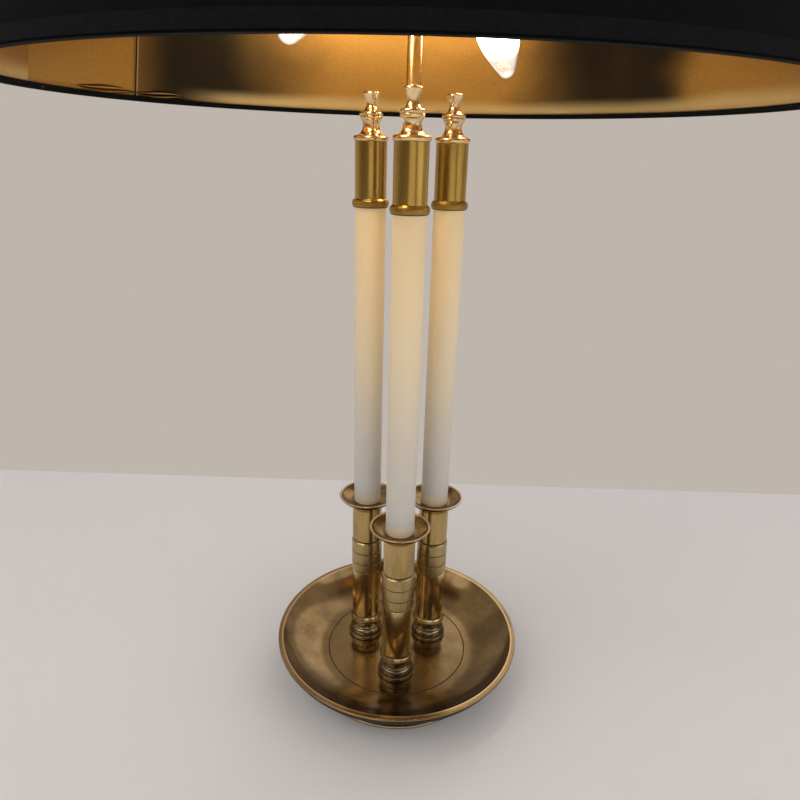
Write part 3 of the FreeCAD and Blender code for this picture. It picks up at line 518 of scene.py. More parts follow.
@dataclass(frozen=True)
class Foil(Finish):
    """Gold foil on paper: the shade's lining, finely mottled, with broad painted dark reflections, a
    painted pale reflection near its lower edge and painted highlights.
    """

    gold: Colour
    reflection_dark_and_grain: Colour
    pale: Colour
    rim: Colour
    seam: Colour
    seam_bearing: float
    base: float
    dark_reflection_fields: tuple[tuple[float, float, float], ...]
    folds: tuple[tuple[float, float], ...]

    def crumple(self, surface: Surface, turn: Value, height: Value) -> Value:
        """Give the folds at the lower edge, from -1 in a crease to 1 on a ridge.

        Args:
            surface: The surface under construction.
            turn: Bearing round the shade, in radians.
            height: Height above the table, in metres.

        Returns:
            The folds' stripes.
        """
        stripes = 0.0
        for bearing, half in self.folds:
            along = (turn - math.radians(bearing)) * (1.0 / math.radians(half))
            lens = surface.math("MAXIMUM", 1.0 - along**2.0, 0.02) * (3.4 * MM)
            across = surface.math("DIVIDE", height - (self.base + 7.2 * MM), lens)
            inside = surface.window(abs(across), 1.0, 0.8)
            stripes = surface.math("SINE", across * 6.5 + along * 3.0) * inside + stripes
        return stripes

    def draw(self, surface: Surface) -> None:
        """Lay out the foil, its painted dark reflections, its seam and its creased edge.

        Args:
            surface: The empty surface of the finish's material.
        """
        turn, height = surface.bearing(), surface.axis("Z")
        seam = math.radians(self.seam_bearing)
        mottle = surface.noise((900.0,) * 3, 4.0, 0.7)
        # Painted glints: small pale flecks.
        sparkle = surface.window(surface.noise((1300.0,) * 3, 2.0), 0.60, 0.72)
        drift = surface.noise((7.0, 7.0, 12.0), 2.0)
        # Darker patches: random drifting tone plus broad painted dark reflections at given bearings.
        dark = surface.window(drift, 0.46, 0.66) * 0.2
        for bearing, half, share in self.dark_reflection_fields:
            away = abs(turn + (drift - 0.5) * 0.14 - math.radians(bearing))
            dark = surface.window(away, math.radians(half), 0.0) * share + dark
        dark = surface.math("MINIMUM", dark, 0.95) * surface.window(turn, seam + 0.02, seam)
        grain = surface.window(mottle, 0.38, 0.66)
        share = 1.0 - (1.0 - dark) ** 2.0
        # The dark colour paints the reflections and a little of the fine grain.
        colour = surface.blend(self.gold, self.reflection_dark_and_grain, share + (1.0 - share) * grain * 0.22)
        colour = surface.blend(colour, self.pale, sparkle * (1.0 - share) * 0.35)
        # Painted reflection: a pale band near the lower edge.
        low = surface.window(height + (drift - 0.5) * 0.012, self.base + 0.019, self.base + 0.006)
        low = low * surface.window(turn, seam - 0.14, seam - 0.42)
        colour = surface.blend(colour, self.rim, low * 0.85)
        # Painted highlight: a light edge beside the seam's dark line.
        colour = surface.blend(colour, self.pale, surface.line_at(turn, seam - 0.005, 0.004) * 0.5)
        colour = surface.blend(colour, self.seam, surface.line_at(turn, seam, 0.0042))
        stripes = self.crumple(surface, turn, height)
        # Painted highlights on the folds' ridges and painted shade in their creases.
        colour = surface.blend(colour, self.pale, surface.window(stripes, 0.0, 0.7) * 0.9)
        colour = surface.blend(colour, self.seam, surface.window(stripes, -0.3, -0.95) * 0.8)
        surface.set(base_color=colour, metallic=0.95, roughness=mottle * 0.2 + 0.24)
        surface.relief(mottle * 0.1 + sparkle * 0.04 + stripes, 0.5)


@dataclass(frozen=True)
class Weave(Finish):
    """Cloth wound round the shade: threads run round and up."""

    thread: Colour
    high: Colour
    round_pitch: float
    up_pitch: float
    relief: float

    def draw(self, surface: Surface) -> None:
        """Lay out the threads.

        Args:
            surface: The empty surface of the finish's material.
        """
        girth = 0.25
        across = surface.math("SINE", surface.bearing() * (FULL_TURN * girth / self.round_pitch))
        along = surface.math("SINE", surface.axis("Z") * (FULL_TURN / self.up_pitch))
        weave = across * along * 0.5 + 0.5
        slub = surface.noise((120.0, 120.0, 900.0), 3.0) + surface.noise((700.0, 700.0, 60.0), 3.0)
        tone = surface.window(slub * 0.6 + weave * 0.3, 0.5, 1.1)
        surface.set(base_color=surface.blend(self.thread, self.high, tone))
        surface.set(roughness=0.9, specular_ior_level=0.12)
        surface.relief(weave * 0.6 + slub * 0.2, self.relief)


@dataclass(frozen=True)
class Plain(Finish):
    """A hidden or minor finish: one colour broken up by a fine grain."""

    colour: Colour
    marks: Colour
    metallic: float
    roughness: float
    density: float
    relief: float

    def draw(self, surface: Surface) -> None:
        """Lay out the colour and its grain.

        Args:
            surface: The empty surface of the finish's material.
        """
        grain = surface.noise((self.density,) * 3, 5.0, 0.65)
        colour = surface.blend(self.colour, self.marks, surface.window(grain, 0.4, 0.75))
        roughness = grain * 0.2 + self.roughness
        surface.set(base_color=colour, metallic=self.metallic, roughness=roughness)
        surface.relief(grain, self.relief)


@dataclass(frozen=True)
class Glass(Finish):
    """Clear glass of a lit bulb, brightest round the filament."""

    reach: float = 0.083
    height: float = 0.561

    def draw(self, surface: Surface) -> None:
        """Lay out the glass and its inner light.

        Args:
            surface: The empty surface of the finish's material.
        """
        smear = surface.noise((60.0, 60.0, 60.0), 3.0)
        out = (surface.reach() - self.reach) ** 2.0
        away = surface.math("SQRT", out + (surface.axis("Z") - self.height) ** 2.0)
        glow = surface.window(away, 0.036, 0.008)
        surface.set(base_color=(1.0, 0.99, 0.96), roughness=smear * 0.05)
        surface.set(transmission_weight=1.0, ior=1.47, emission_strength=10.0)
        cool, hot = paint(31, 31, 30), paint(255, 238, 206)
        surface.set(emission_color=surface.blend(cool, hot, glow))
        surface.relief(smear, 0.02)


@dataclass(frozen=True)
class Glow(Finish):
    """A lit filament carrier."""

    def draw(self, surface: Surface) -> None:
        """Lay out the glowing heat.

        Args:
            surface: The empty surface of the finish's material.
        """
        heat = surface.window(surface.noise((400.0,) * 3, 2.0), 0.2, 0.8)
        colour = surface.blend(paint(255, 226, 176), paint(255, 246, 226), heat)
        surface.set(base_color=paint(250, 236, 200), roughness=0.5)
        surface.set(emission_color=colour, emission_strength=12.0)
        surface.relief(heat, 0.05)


FINISHES: tuple[Finish, ...] = (
    DishBrass(
        "antique_brass", paint(152, 125, 86), paint(94, 76, 50), 0.75, 0.16, Lines.RINGS,
        # The lip level and its colour paint a highlight on the dish's lip.
        0.0012, 0.26, 22.0, lit_lip_level=41.3, lip_highlight_colour=paint(214, 180, 130),
    ),
    # Foot ring: brass darkened as painted shade under the dish, with a painted highlight line on its
    # lip.
    Brass(
        "dark_brass", paint(96, 76, 48), paint(44, 34, 22), 0.8, 0.3,
        speckle=0.4, painted_highlight_line=2.9,
    ),
    Brass(
        "patina_brass", paint(180, 162, 130), paint(82, 68, 50), 0.8, 0.17,
        speckle=0.45, cloud=70.0, seams=(26.1, 32.2, 39.4),
    ),
    Brass(
        "golden_brass", paint(234, 210, 158), paint(160, 136, 94), 0.6, 0.14,
        depth=0.003, speckle=0.2, cloud=40.0, seams=(43.6,),
    ),
    Brass(
        "satin_brass", paint(188, 165, 116), paint(124, 101, 64), 0.6, 0.24, Lines.STREAKS,
        speckle=0.3, cloud=60.0, seams=(105.3, 116.1, 127.9),
    ),
    Brass(
        "column_brass", paint(192, 164, 108), paint(118, 92, 54), 0.65, 0.18, Lines.STREAKS,
        speckle=0.3, cloud=60.0, seams=(128.2,),
    ),
    Brass(
        "aged_brass", paint(160, 129, 84), paint(82, 61, 37), 0.75, 0.2,
        # The lip level paints a highlight on the cup's rim.
        speckle=0.35, cloud=55.0, seams=(171.3,), seam_width=0.22, lit_lip_level=171.9,
    ),
    Brass(
        "olive_brass", paint(194, 158, 82), paint(116, 88, 36), 0.55, 0.24, Lines.STREAKS,
        # The cap's bead is darkened below this level.
        speckle=0.15, cloud=50.0, seams=(419.9,), darker_below=425.6,
    ),
    Brass(
        "polished_brass", paint(255, 226, 172), paint(150, 112, 66), 0.55, 0.16,
        depth=0.002, cloud=170.0,
    ),
    Brass(
        "tube_brass", paint(255, 240, 184), paint(252, 216, 136), 0.4, 0.2, Lines.STREAKS,
        depth=0.0006,
    ),
    Ivory(
        # Sleeve colours: body, painted warm bulb light at the top, painted light from the cup at the
        # foot.
        "ivory_sleeve", paint(190, 186, 179), paint(255, 230, 180), paint(222, 202, 170),
        0.4197, 0.1675,
    ),
    Foil(
        # Foil colours: gold, dark for painted reflections and grain, pale for painted highlights, a
        # painted pale reflection band, and the seam's dark line that also paints shade in creases.
        "gold_foil", paint(200, 147, 68), paint(52, 43, 29), paint(250, 214, 140),
        paint(236, 202, 134), paint(34, 22, 10), 153.6, 0.4946,
        ((141.0, 15.0, 0.45), (134.0, 30.0, 0.7), (47.0, 24.0, 0.85), (35.0, 9.0, 0.4)),
        ((147.9, 5.9), (160.6, 7.2)),
    ),
    Weave("black_fabric", paint(3, 3, 4), paint(8, 8, 9), 0.00075, 0.00075, 0.05),
    Weave("charcoal_tape", paint(7, 8, 9), paint(16, 17, 18), 0.0009, 0.0016, 0.05),
    Plain("shade_wire", paint(206, 164, 88), paint(164, 120, 54), 0.9, 0.28, 220.0, 0.02),
    Plain("zinc_steel", paint(186, 188, 190), paint(150, 152, 150), 1.0, 0.3, 300.0, 0.02),
    Plain("iron_ballast", paint(70, 68, 66), paint(46, 43, 41), 0.7, 0.55, 350.0, 0.2),
    Plain("brown_felt", paint(92, 72, 54), paint(66, 50, 38), 0.0, 0.8, 900.0, 0.3),
    Plain("black_insulation", paint(30, 30, 31), paint(22, 22, 22), 0.0, 0.38, 260.0, 0.02),
    Plain("flex_sheath", paint(34, 34, 34), paint(24, 24, 24), 0.0, 0.5, 400.0, 0.02),
    Plain("nickel_cap", paint(214, 208, 196), paint(170, 164, 150), 1.0, 0.2, 300.0, 0.02),
    Glass("clear_glass"),
    Glow("lamp_filament"),
)


# Shapes


def spot(radius: float, height: float) -> Vector:
    """A point of a half-section, in metres, from millimetres."""
    return Vector((radius * MM, 0.0, height * MM))


def polar(reach: float, bearing: float, height: float = 0.0) -> Matrix:
    """The move to a reach, bearing in degrees and height, in millimetres.

    Args:
        reach: Distance from the lamp's axis, in millimetres.
        bearing: Direction from the lamp's axis, in degrees.
        height: Height above the table, in millimetres.

    Returns:
        The placing matrix.
    """
    turn = math.radians(bearing)
    place = Vector((reach * math.cos(turn), reach * math.sin(turn), height))
    return Matrix.Translation(place * MM)


def aimed(reach: float, bearing: float, height: float, tip: float) -> Matrix:
    """Stand a piece at a place with its own Z tipped outwards.

    Args:
        reach: Distance from the lamp's axis, in millimetres.
        bearing: Direction from the axis, in degrees.
        height: Height above the table, in millimetres.
        tip: Angle of the piece's Z from upright, in degrees.

    Returns:
        The placing matrix.
    """
    turn = Matrix.Rotation(math.radians(bearing), 4, "Z")
    return polar(reach, bearing, height) @ turn @ Matrix.Rotation(math.radians(tip), 4, "Y")


def clean(mesh: BMesh) -> None:
    """Merge doubled points and turn every face outwards."""
    bmesh.ops.remove_doubles(mesh, verts=mesh.verts, dist=1e-7)
    bmesh.ops.recalc_face_normals(mesh, faces=mesh.faces)


class Section:
    """The half-section of a turned piece, drawn edge by edge beside its axis."""

    def __init__(self, radius: float, height: float) -> None:
        """Start at a radius and height, in millimetres.

        Args:
            radius: Distance from the axis, in millimetres.
            height: Height along the axis, in millimetres.
        """
        self.mesh = bmesh.new()
        self.first = self.mesh.verts.new(spot(radius, height))
        self.last = self.first

    def line(self, radius: float, height: float) -> None:
        """Run straight on to a radius and height.

        Args:
            radius: Distance from the axis, in millimetres.
            height: Height along the axis, in millimetres.
        """
        made = bmesh.ops.extrude_vert_indiv(self.mesh, verts=[self.last])
        self.last = made["verts"][0]
        self.last.co = spot(radius, height)

    def arc(self, radius: float, height: float, rise: float, steps: int) -> None:
        """Swing on to a radius and height.

        Args:
            radius: Radius at the end, in millimetres.
            height: Height at the end, in millimetres.
            rise: The arc's rise over half its chord, to the left of the way when positive.
            steps: Number of edges along the arc.
        """
        start, end = self.last.co.copy(), spot(radius, height)
        half = (end - start).length / 2
        sagitta = abs(rise) * half
        bend = (half * half + sagitta * sagitta) / (2 * sagitta)
        side = Vector((-(end - start).z, 0.0, (end - start).x)).normalized()
        centre = (start + end) / 2 - side * math.copysign(bend - sagitta, rise)
        made = bmesh.ops.spin(
            self.mesh, geom=[self.last], cent=centre, axis=(0.0, 1.0, 0.0),
            angle=4 * math.atan(rise), steps=steps, use_duplicate=False,
        )
        ends = (item for item in made["geom_last"] if isinstance(item, bmesh.types.BMVert))
        self.last = next(ends)
        self.last.co = end

    def turn(self, steps: int) -> BMesh:
        """Turn the section about its axis into a closed piece with that many flats.

        Args:
            steps: Number of flats round the axis.

        Returns:
            The turned mesh.
        """
        on_axis = self.first.co.x < 1e-9 and self.last.co.x < 1e-9
        if not on_axis:
            self.mesh.edges.new((self.last, self.first))
        bmesh.ops.spin(
            self.mesh, geom=[*self.mesh.verts, *self.mesh.edges], cent=(0.0, 0.0, 0.0),
            axis=UP, angle=FULL_TURN, steps=steps, use_merge=True,
        )
        clean(self.mesh)
        return self.mesh


def break_edges(mesh: BMesh, width: float, sharper_than: float = 28.0) -> BMesh:
    """Round off the sharp edges of a mesh.

    Args:
        mesh: The mesh to change.
        width: Width of the rounding, in millimetres.
        sharper_than: Only edges that fold by more than this many degrees are rounded.

    Returns:
        The same mesh.
    """
    limit = math.radians(sharper_than)
    sharp = [e for e in mesh.edges if len(e.link_faces) == 2 and e.calc_face_angle() > limit]
    bmesh.ops.bevel(
        mesh, geom=sharp, offset=width * MM, offset_type="OFFSET", segments=2,
        profile=0.5, affect="EDGES", clamp_overlap=True, material=-1,
    )
    return mesh


def lathe(
    *corners: Corner, flats: int = 96, rounding: float = 0.2, sharper_than: float = 28.0
) -> BMesh:
    """Turn a half-section on the lamp's axis and round its sharp edges.

    Args:
        corners: Radius and height of each corner, in millimetres. One that an arc leads to has
            the arc's rise and number of edges besides.
        flats: Number of flats round the axis.
        rounding: Width of the edges' rounding, in millimetres, or 0 for none.
        sharper_than: Only edges that fold by more than this many degrees are rounded.

    Returns:
        The turned mesh.
    """
    section = Section(*corners[0])
    for corner in corners[1:]:
        step = section.line if len(corner) == 2 else section.arc
        step(*corner)
    mesh = section.turn(flats)
    return break_edges(mesh, rounding, sharper_than) if rounding else mesh


def join(mesh: BMesh, *others: BMesh) -> BMesh:
    """Put other meshes into the first and free them.

    Args:
        mesh: The mesh that takes the rest in.
        others: The meshes to put in.

    Returns:
        The first mesh.
    """
    for other in others:
        loose = bpy.data.meshes.new("loose")
        other.to_mesh(loose)
        mesh.from_mesh(loose)
        bpy.data.meshes.remove(loose)
        other.free()
    return mesh


def moved(mesh: BMesh, matrix: Matrix) -> BMesh:
    """Transform a whole mesh."""
    bmesh.ops.transform(mesh, matrix=matrix, verts=mesh.verts)
    return mesh


def rod(radius: float, length: float, segments: int = 24) -> BMesh:
    """A round rod standing on the origin along Z, in millimetres.

    Args:
        radius: The rod's radius.
        length: Its length.
        segments: Number of flats round it.

    Returns:
        The rod.
    """
    mesh = bmesh.new()
    bmesh.ops.create_cone(
        mesh, cap_ends=True, segments=segments, radius1=radius * MM, radius2=radius * MM,
        depth=length * MM, matrix=Matrix.Translation(UP * (length * MM / 2)),
    )
    return mesh


def ring(reach: float, height: float, wire: float, steps: int) -> BMesh:
    """A wire ring round the lamp's axis, in millimetres.

    Args:
        reach: The ring's radius.
        height: Height above the table.
        wire: The wire's radius.
        steps: Number of flats round the axis.

    Returns:
        The ring.
    """
    mesh = bmesh.new()
    upright = Matrix.Rotation(math.radians(90), 4, "X")
    bmesh.ops.create_circle(
        mesh, segments=14, radius=wire * MM,
        matrix=Matrix.Translation(spot(reach, height)) @ upright,
    )
    bmesh.ops.spin(
        mesh, geom=[*mesh.verts, *mesh.edges], cent=(0.0, 0.0, 0.0), axis=UP,
        angle=FULL_TURN, steps=steps, use_merge=True,
    )
    clean(mesh)
    return mesh


@dataclass
class Bench:
    """Where meshes become finished pieces of the lamp."""

    materials: Mapping[str, bpy.types.Material]
    solids: Mapping[str, bpy.types.Object]
    smooth_below: float = 40.0

    def finish(self, name: str, mesh: BMesh, body: str, slot: str, node: str, look: str) -> None:
        """Make a piece of a mesh, dress it and hang it on its body.

        Args:
            name: The piece's name.
            mesh: The finished mesh, which is freed.
            body: The body that the piece moves with.
            slot: The finish it gets, where no look is given.
            node: The solid that the piece replaces.
            look: The finish, where it isn't the one named for the slot.
        """
        data = bpy.data.meshes.new(name)
        mesh.to_mesh(data)
        mesh.free()
        data.polygons.foreach_set("use_smooth", [True] * len(data.polygons))
        data.set_sharp_from_angle(angle=math.radians(self.smooth_below))
        data.materials.append(self.materials[look or slot])
        piece = bpy.data.objects.new(name, data)
        bpy.context.scene.collection.objects.link(piece)
        weights = piece.modifiers.new("even_shading", "WEIGHTED_NORMAL")
        weights.keep_sharp = True
        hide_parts(node)
        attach(piece, body)
        LOG.info("%s: %d faces on %s", name, len(data.polygons), body)

    def dress(self, node: str, finish: str) -> None:
        """Give a solid that stays in view its finish.

        Args:
            node: The solid's name.
            finish: The finish's name.
        """
        data = self.solids[node].data
        data.materials.clear()
        data.materials.append(self.materials[finish])
        LOG.info("%s: kept, %s", node, finish)


# Sub-assemblies


@dataclass
class Assembly:
    """A sub-assembly whose pieces ride on one body, and the solids of it that stay in view."""

    bench: Bench
    body = "stand"
    kept = {}

    def add(self, name: str, mesh: BMesh, slot: str, node: str, look: str = "") -> None:
        """Finish a mesh as the piece that stands for a solid."""
        self.bench.finish(name, mesh, self.body, slot, node, look)

    def shape(self) -> None:
        """Make the sub-assembly's own pieces."""
        raise NotImplementedError

    def build(self) -> None:
        """Make the pieces and dress the solids that are kept."""
        self.shape()
        for node, finish in self.kept.items():
            self.bench.dress(node, finish)


@dataclass
class Base(Assembly):
    """Dish, foot ring and what closes them."""

    floor: float = 22.0
    underside: float = 19.6
    bore: float = 5.0
    radius: float = 110.0
    rim: float = 41.7
    lip: float = 4.4
    lip_thickness: float = 2.6
    softening: float = 0.8
    flat: float = 66.0
    seat: float = 81.0
    engraving: float = 63.8
    engraving_half: float = 0.28
    foot: float = 78.4
    foot_inner: float = 74.4
    pad: float = 77.0
    pad_thickness: float = 2.0
    kept = {"base_cover": "zinc_steel", "ballast_disc": "iron_ballast"}

    def dish(self) -> None:
        """Spin the broad dish with its rolled lip and engraved circle."""
        low, side = self.rim - self.lip_thickness, self.radius - self.softening
        mesh = lathe(
            (self.bore, self.underside), (self.seat, self.underside), (side, low, -0.30, 28),
            (self.radius, low + self.softening, -0.41, 4),
            (self.radius, self.rim - self.softening), (side, self.rim, -0.41, 4),
            (self.radius - self.lip, self.rim), (self.flat, self.floor, 0.235, 28),
            (self.engraving + self.engraving_half, self.floor),
            (self.engraving - self.engraving_half, self.floor, 0.9, 6), (self.bore, self.floor),
            flats=224, rounding=0.22, sharper_than=24.0,
        )
        self.add("spun_dish", mesh, "antique_brass", "base_dish")

    def foot_band(self) -> None:
        """Turn the foot ring with its rounded lip at the table."""
        mesh = lathe(
            (77.2, 0.8), (79.8, 0.8), (79.8, 4.0, -0.85, 10), (self.foot, 4.0),
            (self.foot, self.underside), (self.foot_inner, self.underside),
            (self.foot_inner, 3.2), (77.2, 3.2), flats=192,
        )
        # The foot ring's brass is darkened as painted shade.
        self.add("turned_foot_ring", mesh, "dark_brass", "foot_ring")

    def felt(self) -> None:
        """Cut the felt pad with its softened edge."""
        high = self.pad_thickness
        corners = (0.0, 0.0), (self.pad, 0.0), (self.pad, high), (0.0, high)
        mesh = lathe(*corners, flats=144, rounding=0.4)
        self.add("felt_underlay", mesh, "brown_felt", "felt_pad")

    def bushing(self) -> None:
        """Turn the cord inlet's flanged bush."""
        mesh = lathe(
            (3.0, 0.0), (4.5, 0.0), (4.5, 6.6), (6.4, 6.6), (6.4, 7.5), (5.5, 8.4, -0.41, 4),
            (3.6, 8.4), (3.0, 7.8, -0.41, 4), flats=48, rounding=0.0,
        )
        moved(mesh, aimed(71.4, 90.0, 10.5, 90.0))
        self.add("inlet_bush", mesh, "black_insulation", "cord_bushing")

    def shape(self) -> None:
        """Make every piece of the base."""
        self.dish()
        self.foot_band()
        self.felt()
        self.bushing()


@dataclass
class Candle(Assembly):
    """One mock candle: foot, columns, cup, sleeve, cap and finial on a tie rod."""

    name: str
    bearing: float
    circle: float = 34.7
    rod_hole: float = 2.15
    floor: float = 22.0
    column_base: float = 40.8
    collar_base: float = 94.9
    collar_top: float = 127.8
    cup_base: float = 160.5
    cup_floor: float = 167.5
    cup_rim: float = 172.5
    cap_base: float = 419.7
    cap_top: float = 466.6

    def place(self, label: str, mesh: BMesh, slot: str, look: str = "") -> None:
        """Stand a turned piece of this candle and let it replace its solid.

        Args:
            label: The solid's name without the candle's.
            mesh: The piece, turned on the lamp's axis.
            slot: The finish it gets, where no look is given.
            look: The finish, where it isn't the one named for the slot.
        """
        node = f"{label}_{self.name}"
        standing = moved(mesh, polar(self.circle, self.bearing))
        self.add(f"turned_{node}", standing, slot, node, look)

    def foot(self) -> None:
        """Turn the foot: rim ring, torus, hollow neck and top plate."""
        base, top, hole = self.floor, self.column_base, self.rod_hole
        mesh = lathe(
            (hole, base), (15.7, base), (15.7, base + 3.8, -0.3, 10), (14.6, base + 3.8),
            (14.6, base + 4.4), (12.8, base + 10.4, -0.3, 10), (12.2, top - 1.8, 0.3, 10),
            (13.4, top - 1.2), (13.4, top), (hole, top), rounding=0.22,
        )
        self.place("candle_foot", mesh, "patina_brass")

    def lower_column(self) -> None:
        """Turn the lower column with the bead at its foot."""
        base, top = self.column_base, self.collar_base
        mesh = lathe(
            (11.5, base), (14.4, base), (14.4, base + 2.6, -0.3, 8),
            (13.0, base + 8.6, 0.2, 12), (13.0, top), (11.5, top), rounding=0.18,
        )
        self.place("lower_column", mesh, "golden_brass")

    def collar(self) -> None:
        """Turn the coupling with its two grooves and bevelled ends."""
        base, top = self.collar_base, self.collar_top
        grooves = [
            (radius, base + height + half)
            for height in (10.4, 21.2)
            for radius, half in ((13.75, -0.42), (12.95, -0.12), (12.95, 0.12), (13.75, 0.42))
        ]
        mesh = lathe(
            (8.0, base), (13.0, base), (13.75, base + 1.4), *grooves, (13.75, top - 1.4),
            (12.35, top), (8.0, top), rounding=0.14,
        )
        self.place("grooved_collar", mesh, "satin_brass")

    def upper_column(self) -> None:
        """Turn the upper column above the collar's recess."""
        base, top = self.collar_top, self.cup_base
        mesh = lathe(
            (11.6, base), (12.35, base), (12.35, base + 0.8), (13.1, base + 1.4), (13.1, top),
            (11.6, top), rounding=0.14,
        )
        self.place("upper_column", mesh, "satin_brass", "column_brass")

    def cup(self) -> None:
        """Turn the flared wax cup with its rolled lip."""
        base, floor, rim, reach = self.cup_base, self.cup_floor, self.cup_rim, 25.0
        mesh = lathe(
            (self.rod_hole, base), (13.1, base), (13.1, base + 3.6),
            (reach - 0.4, rim - 1.4, -0.2, 16), (reach, rim - 0.7),
            (reach - 0.6, rim, -0.41, 5), (reach - 1.5, rim - 0.1, -0.2, 3),
            (13.8, floor, 0.2, 16), (self.rod_hole, floor),
            flats=128, rounding=0.12, sharper_than=30.0,
        )
        self.place("drip_cup", mesh, "aged_brass")

    def sleeve(self) -> None:
        """Turn the ivory sleeve."""
        base, top = self.cup_floor, self.cap_base
        side = [(11.9, base + share * (top - base)) for share in (0.0, 0.25, 0.5, 0.75, 1.0)]
        self.place("candle_sleeve", lathe((10.1, base), *side, (10.1, top)), "ivory_sleeve")

    def cap(self) -> None:
        """Turn the brass cap with its rolled bead."""
        base, top, hole = self.cap_base, self.cap_top, self.rod_hole
        mesh = lathe(
            (10.0, base - 5.0), (10.0, base), (12.9, base), (12.9, base + 5.9, -0.41, 14),
            (12.0, base + 6.5), (12.0, top), (hole, top), (hole, top - 1.2), (10.8, top - 1.2),
            (10.8, base + 2.4), (8.8, base + 1.2), (8.8, base - 5.0), rounding=0.18,
        )
        self.place("candle_cap", mesh, "olive_brass")

    def finial(self) -> None:
        """Turn the finial: flange, hollow neck, bead and flared knob."""
        base = self.cap_top
        mesh = lathe(
            (0.0, base), (12.0, base), (12.0, base + 3.7, -0.6, 12), (10.9, base + 4.0),
            (6.3, base + 9.8, 0.36, 12), (7.0, base + 13.6, 0.12, 6), (7.7, base + 14.4),
            (8.4, base + 16.6, -0.2, 5), (7.8, base + 17.0), (7.2, base + 19.8, -0.75, 10),
            (3.6, base + 24.6, 0.3, 8), (5.7, base + 31.0, 0.07, 8),
            (4.9, base + 33.2, -0.55, 8), (0.0, base + 33.8, -0.08, 4), flats=80, rounding=0.14,
        )
        self.place("candle_finial", mesh, "polished_brass")

    def shape(self) -> None:
        """Make every piece of the candle."""
        for make in (self.foot, self.lower_column, self.collar, self.upper_column, self.cup,
                     self.sleeve, self.cap, self.finial):
            make()


@dataclass
class Stem(Assembly):
    """The central tube with its flange, nuts, flex and top finial."""

    radius: float = 5.0
    bottom: float = 4.4
    top: float = 795.0
    floor: float = 22.0
    finial_grip: float = 10.0
    kept = {
        "stem_locknut": "zinc_steel", "tie_rods": "zinc_steel", "tie_rod_nuts": "zinc_steel",
        "lamp_flex": "flex_sheath",
    }

    def tube(self) -> None:
        """Draw the tube."""
        low, high, bore = self.bottom, self.top, self.radius - 1.0
        mesh = lathe((bore, low), (self.radius, low), (self.radius, high), (bore, high), flats=64)
        self.add("drawn_stem", mesh, "polished_brass", "stem_tube", "tube_brass")

    def flange(self) -> None:
        """Turn the cover flange on the dish."""
        base = self.floor
        mesh = lathe(
            (5.0, base), (9.6, base), (9.6, base + 2.0), (6.5, base + 8.0, -0.3, 10),
            (5.0, base + 8.0), flats=64,
        )
        self.add("turned_stem_flange", mesh, "polished_brass", "stem_flange")

    def crown(self) -> None:
        """Turn the finial over the stem's top."""
        base = self.top - self.finial_grip
        mesh = lathe(
            (5.0, base), (8.0, base), (8.0, base + 4.0), (6.4, base + 4.9),
            (6.4, base + 7.0, 0.2, 5), (8.7, base + 14.0, 0.2, 8), (8.7, base + 18.4, -0.65, 10),
            (4.4, base + 23.5, 0.2, 8), (6.4, base + 30.0, 0.1, 8), (5.5, base + 32.7, -0.3, 6),
            (0.0, base + 33.6, -0.1, 6), (0.0, self.top), (5.0, self.top),
            flats=80, rounding=0.16,
        )
        self.add("turned_stem_finial", mesh, "polished_brass", "stem_finial")

    def shape(self) -> None:
        """Make every piece of the stem."""
        self.tube()
        self.flange()
        self.crown()


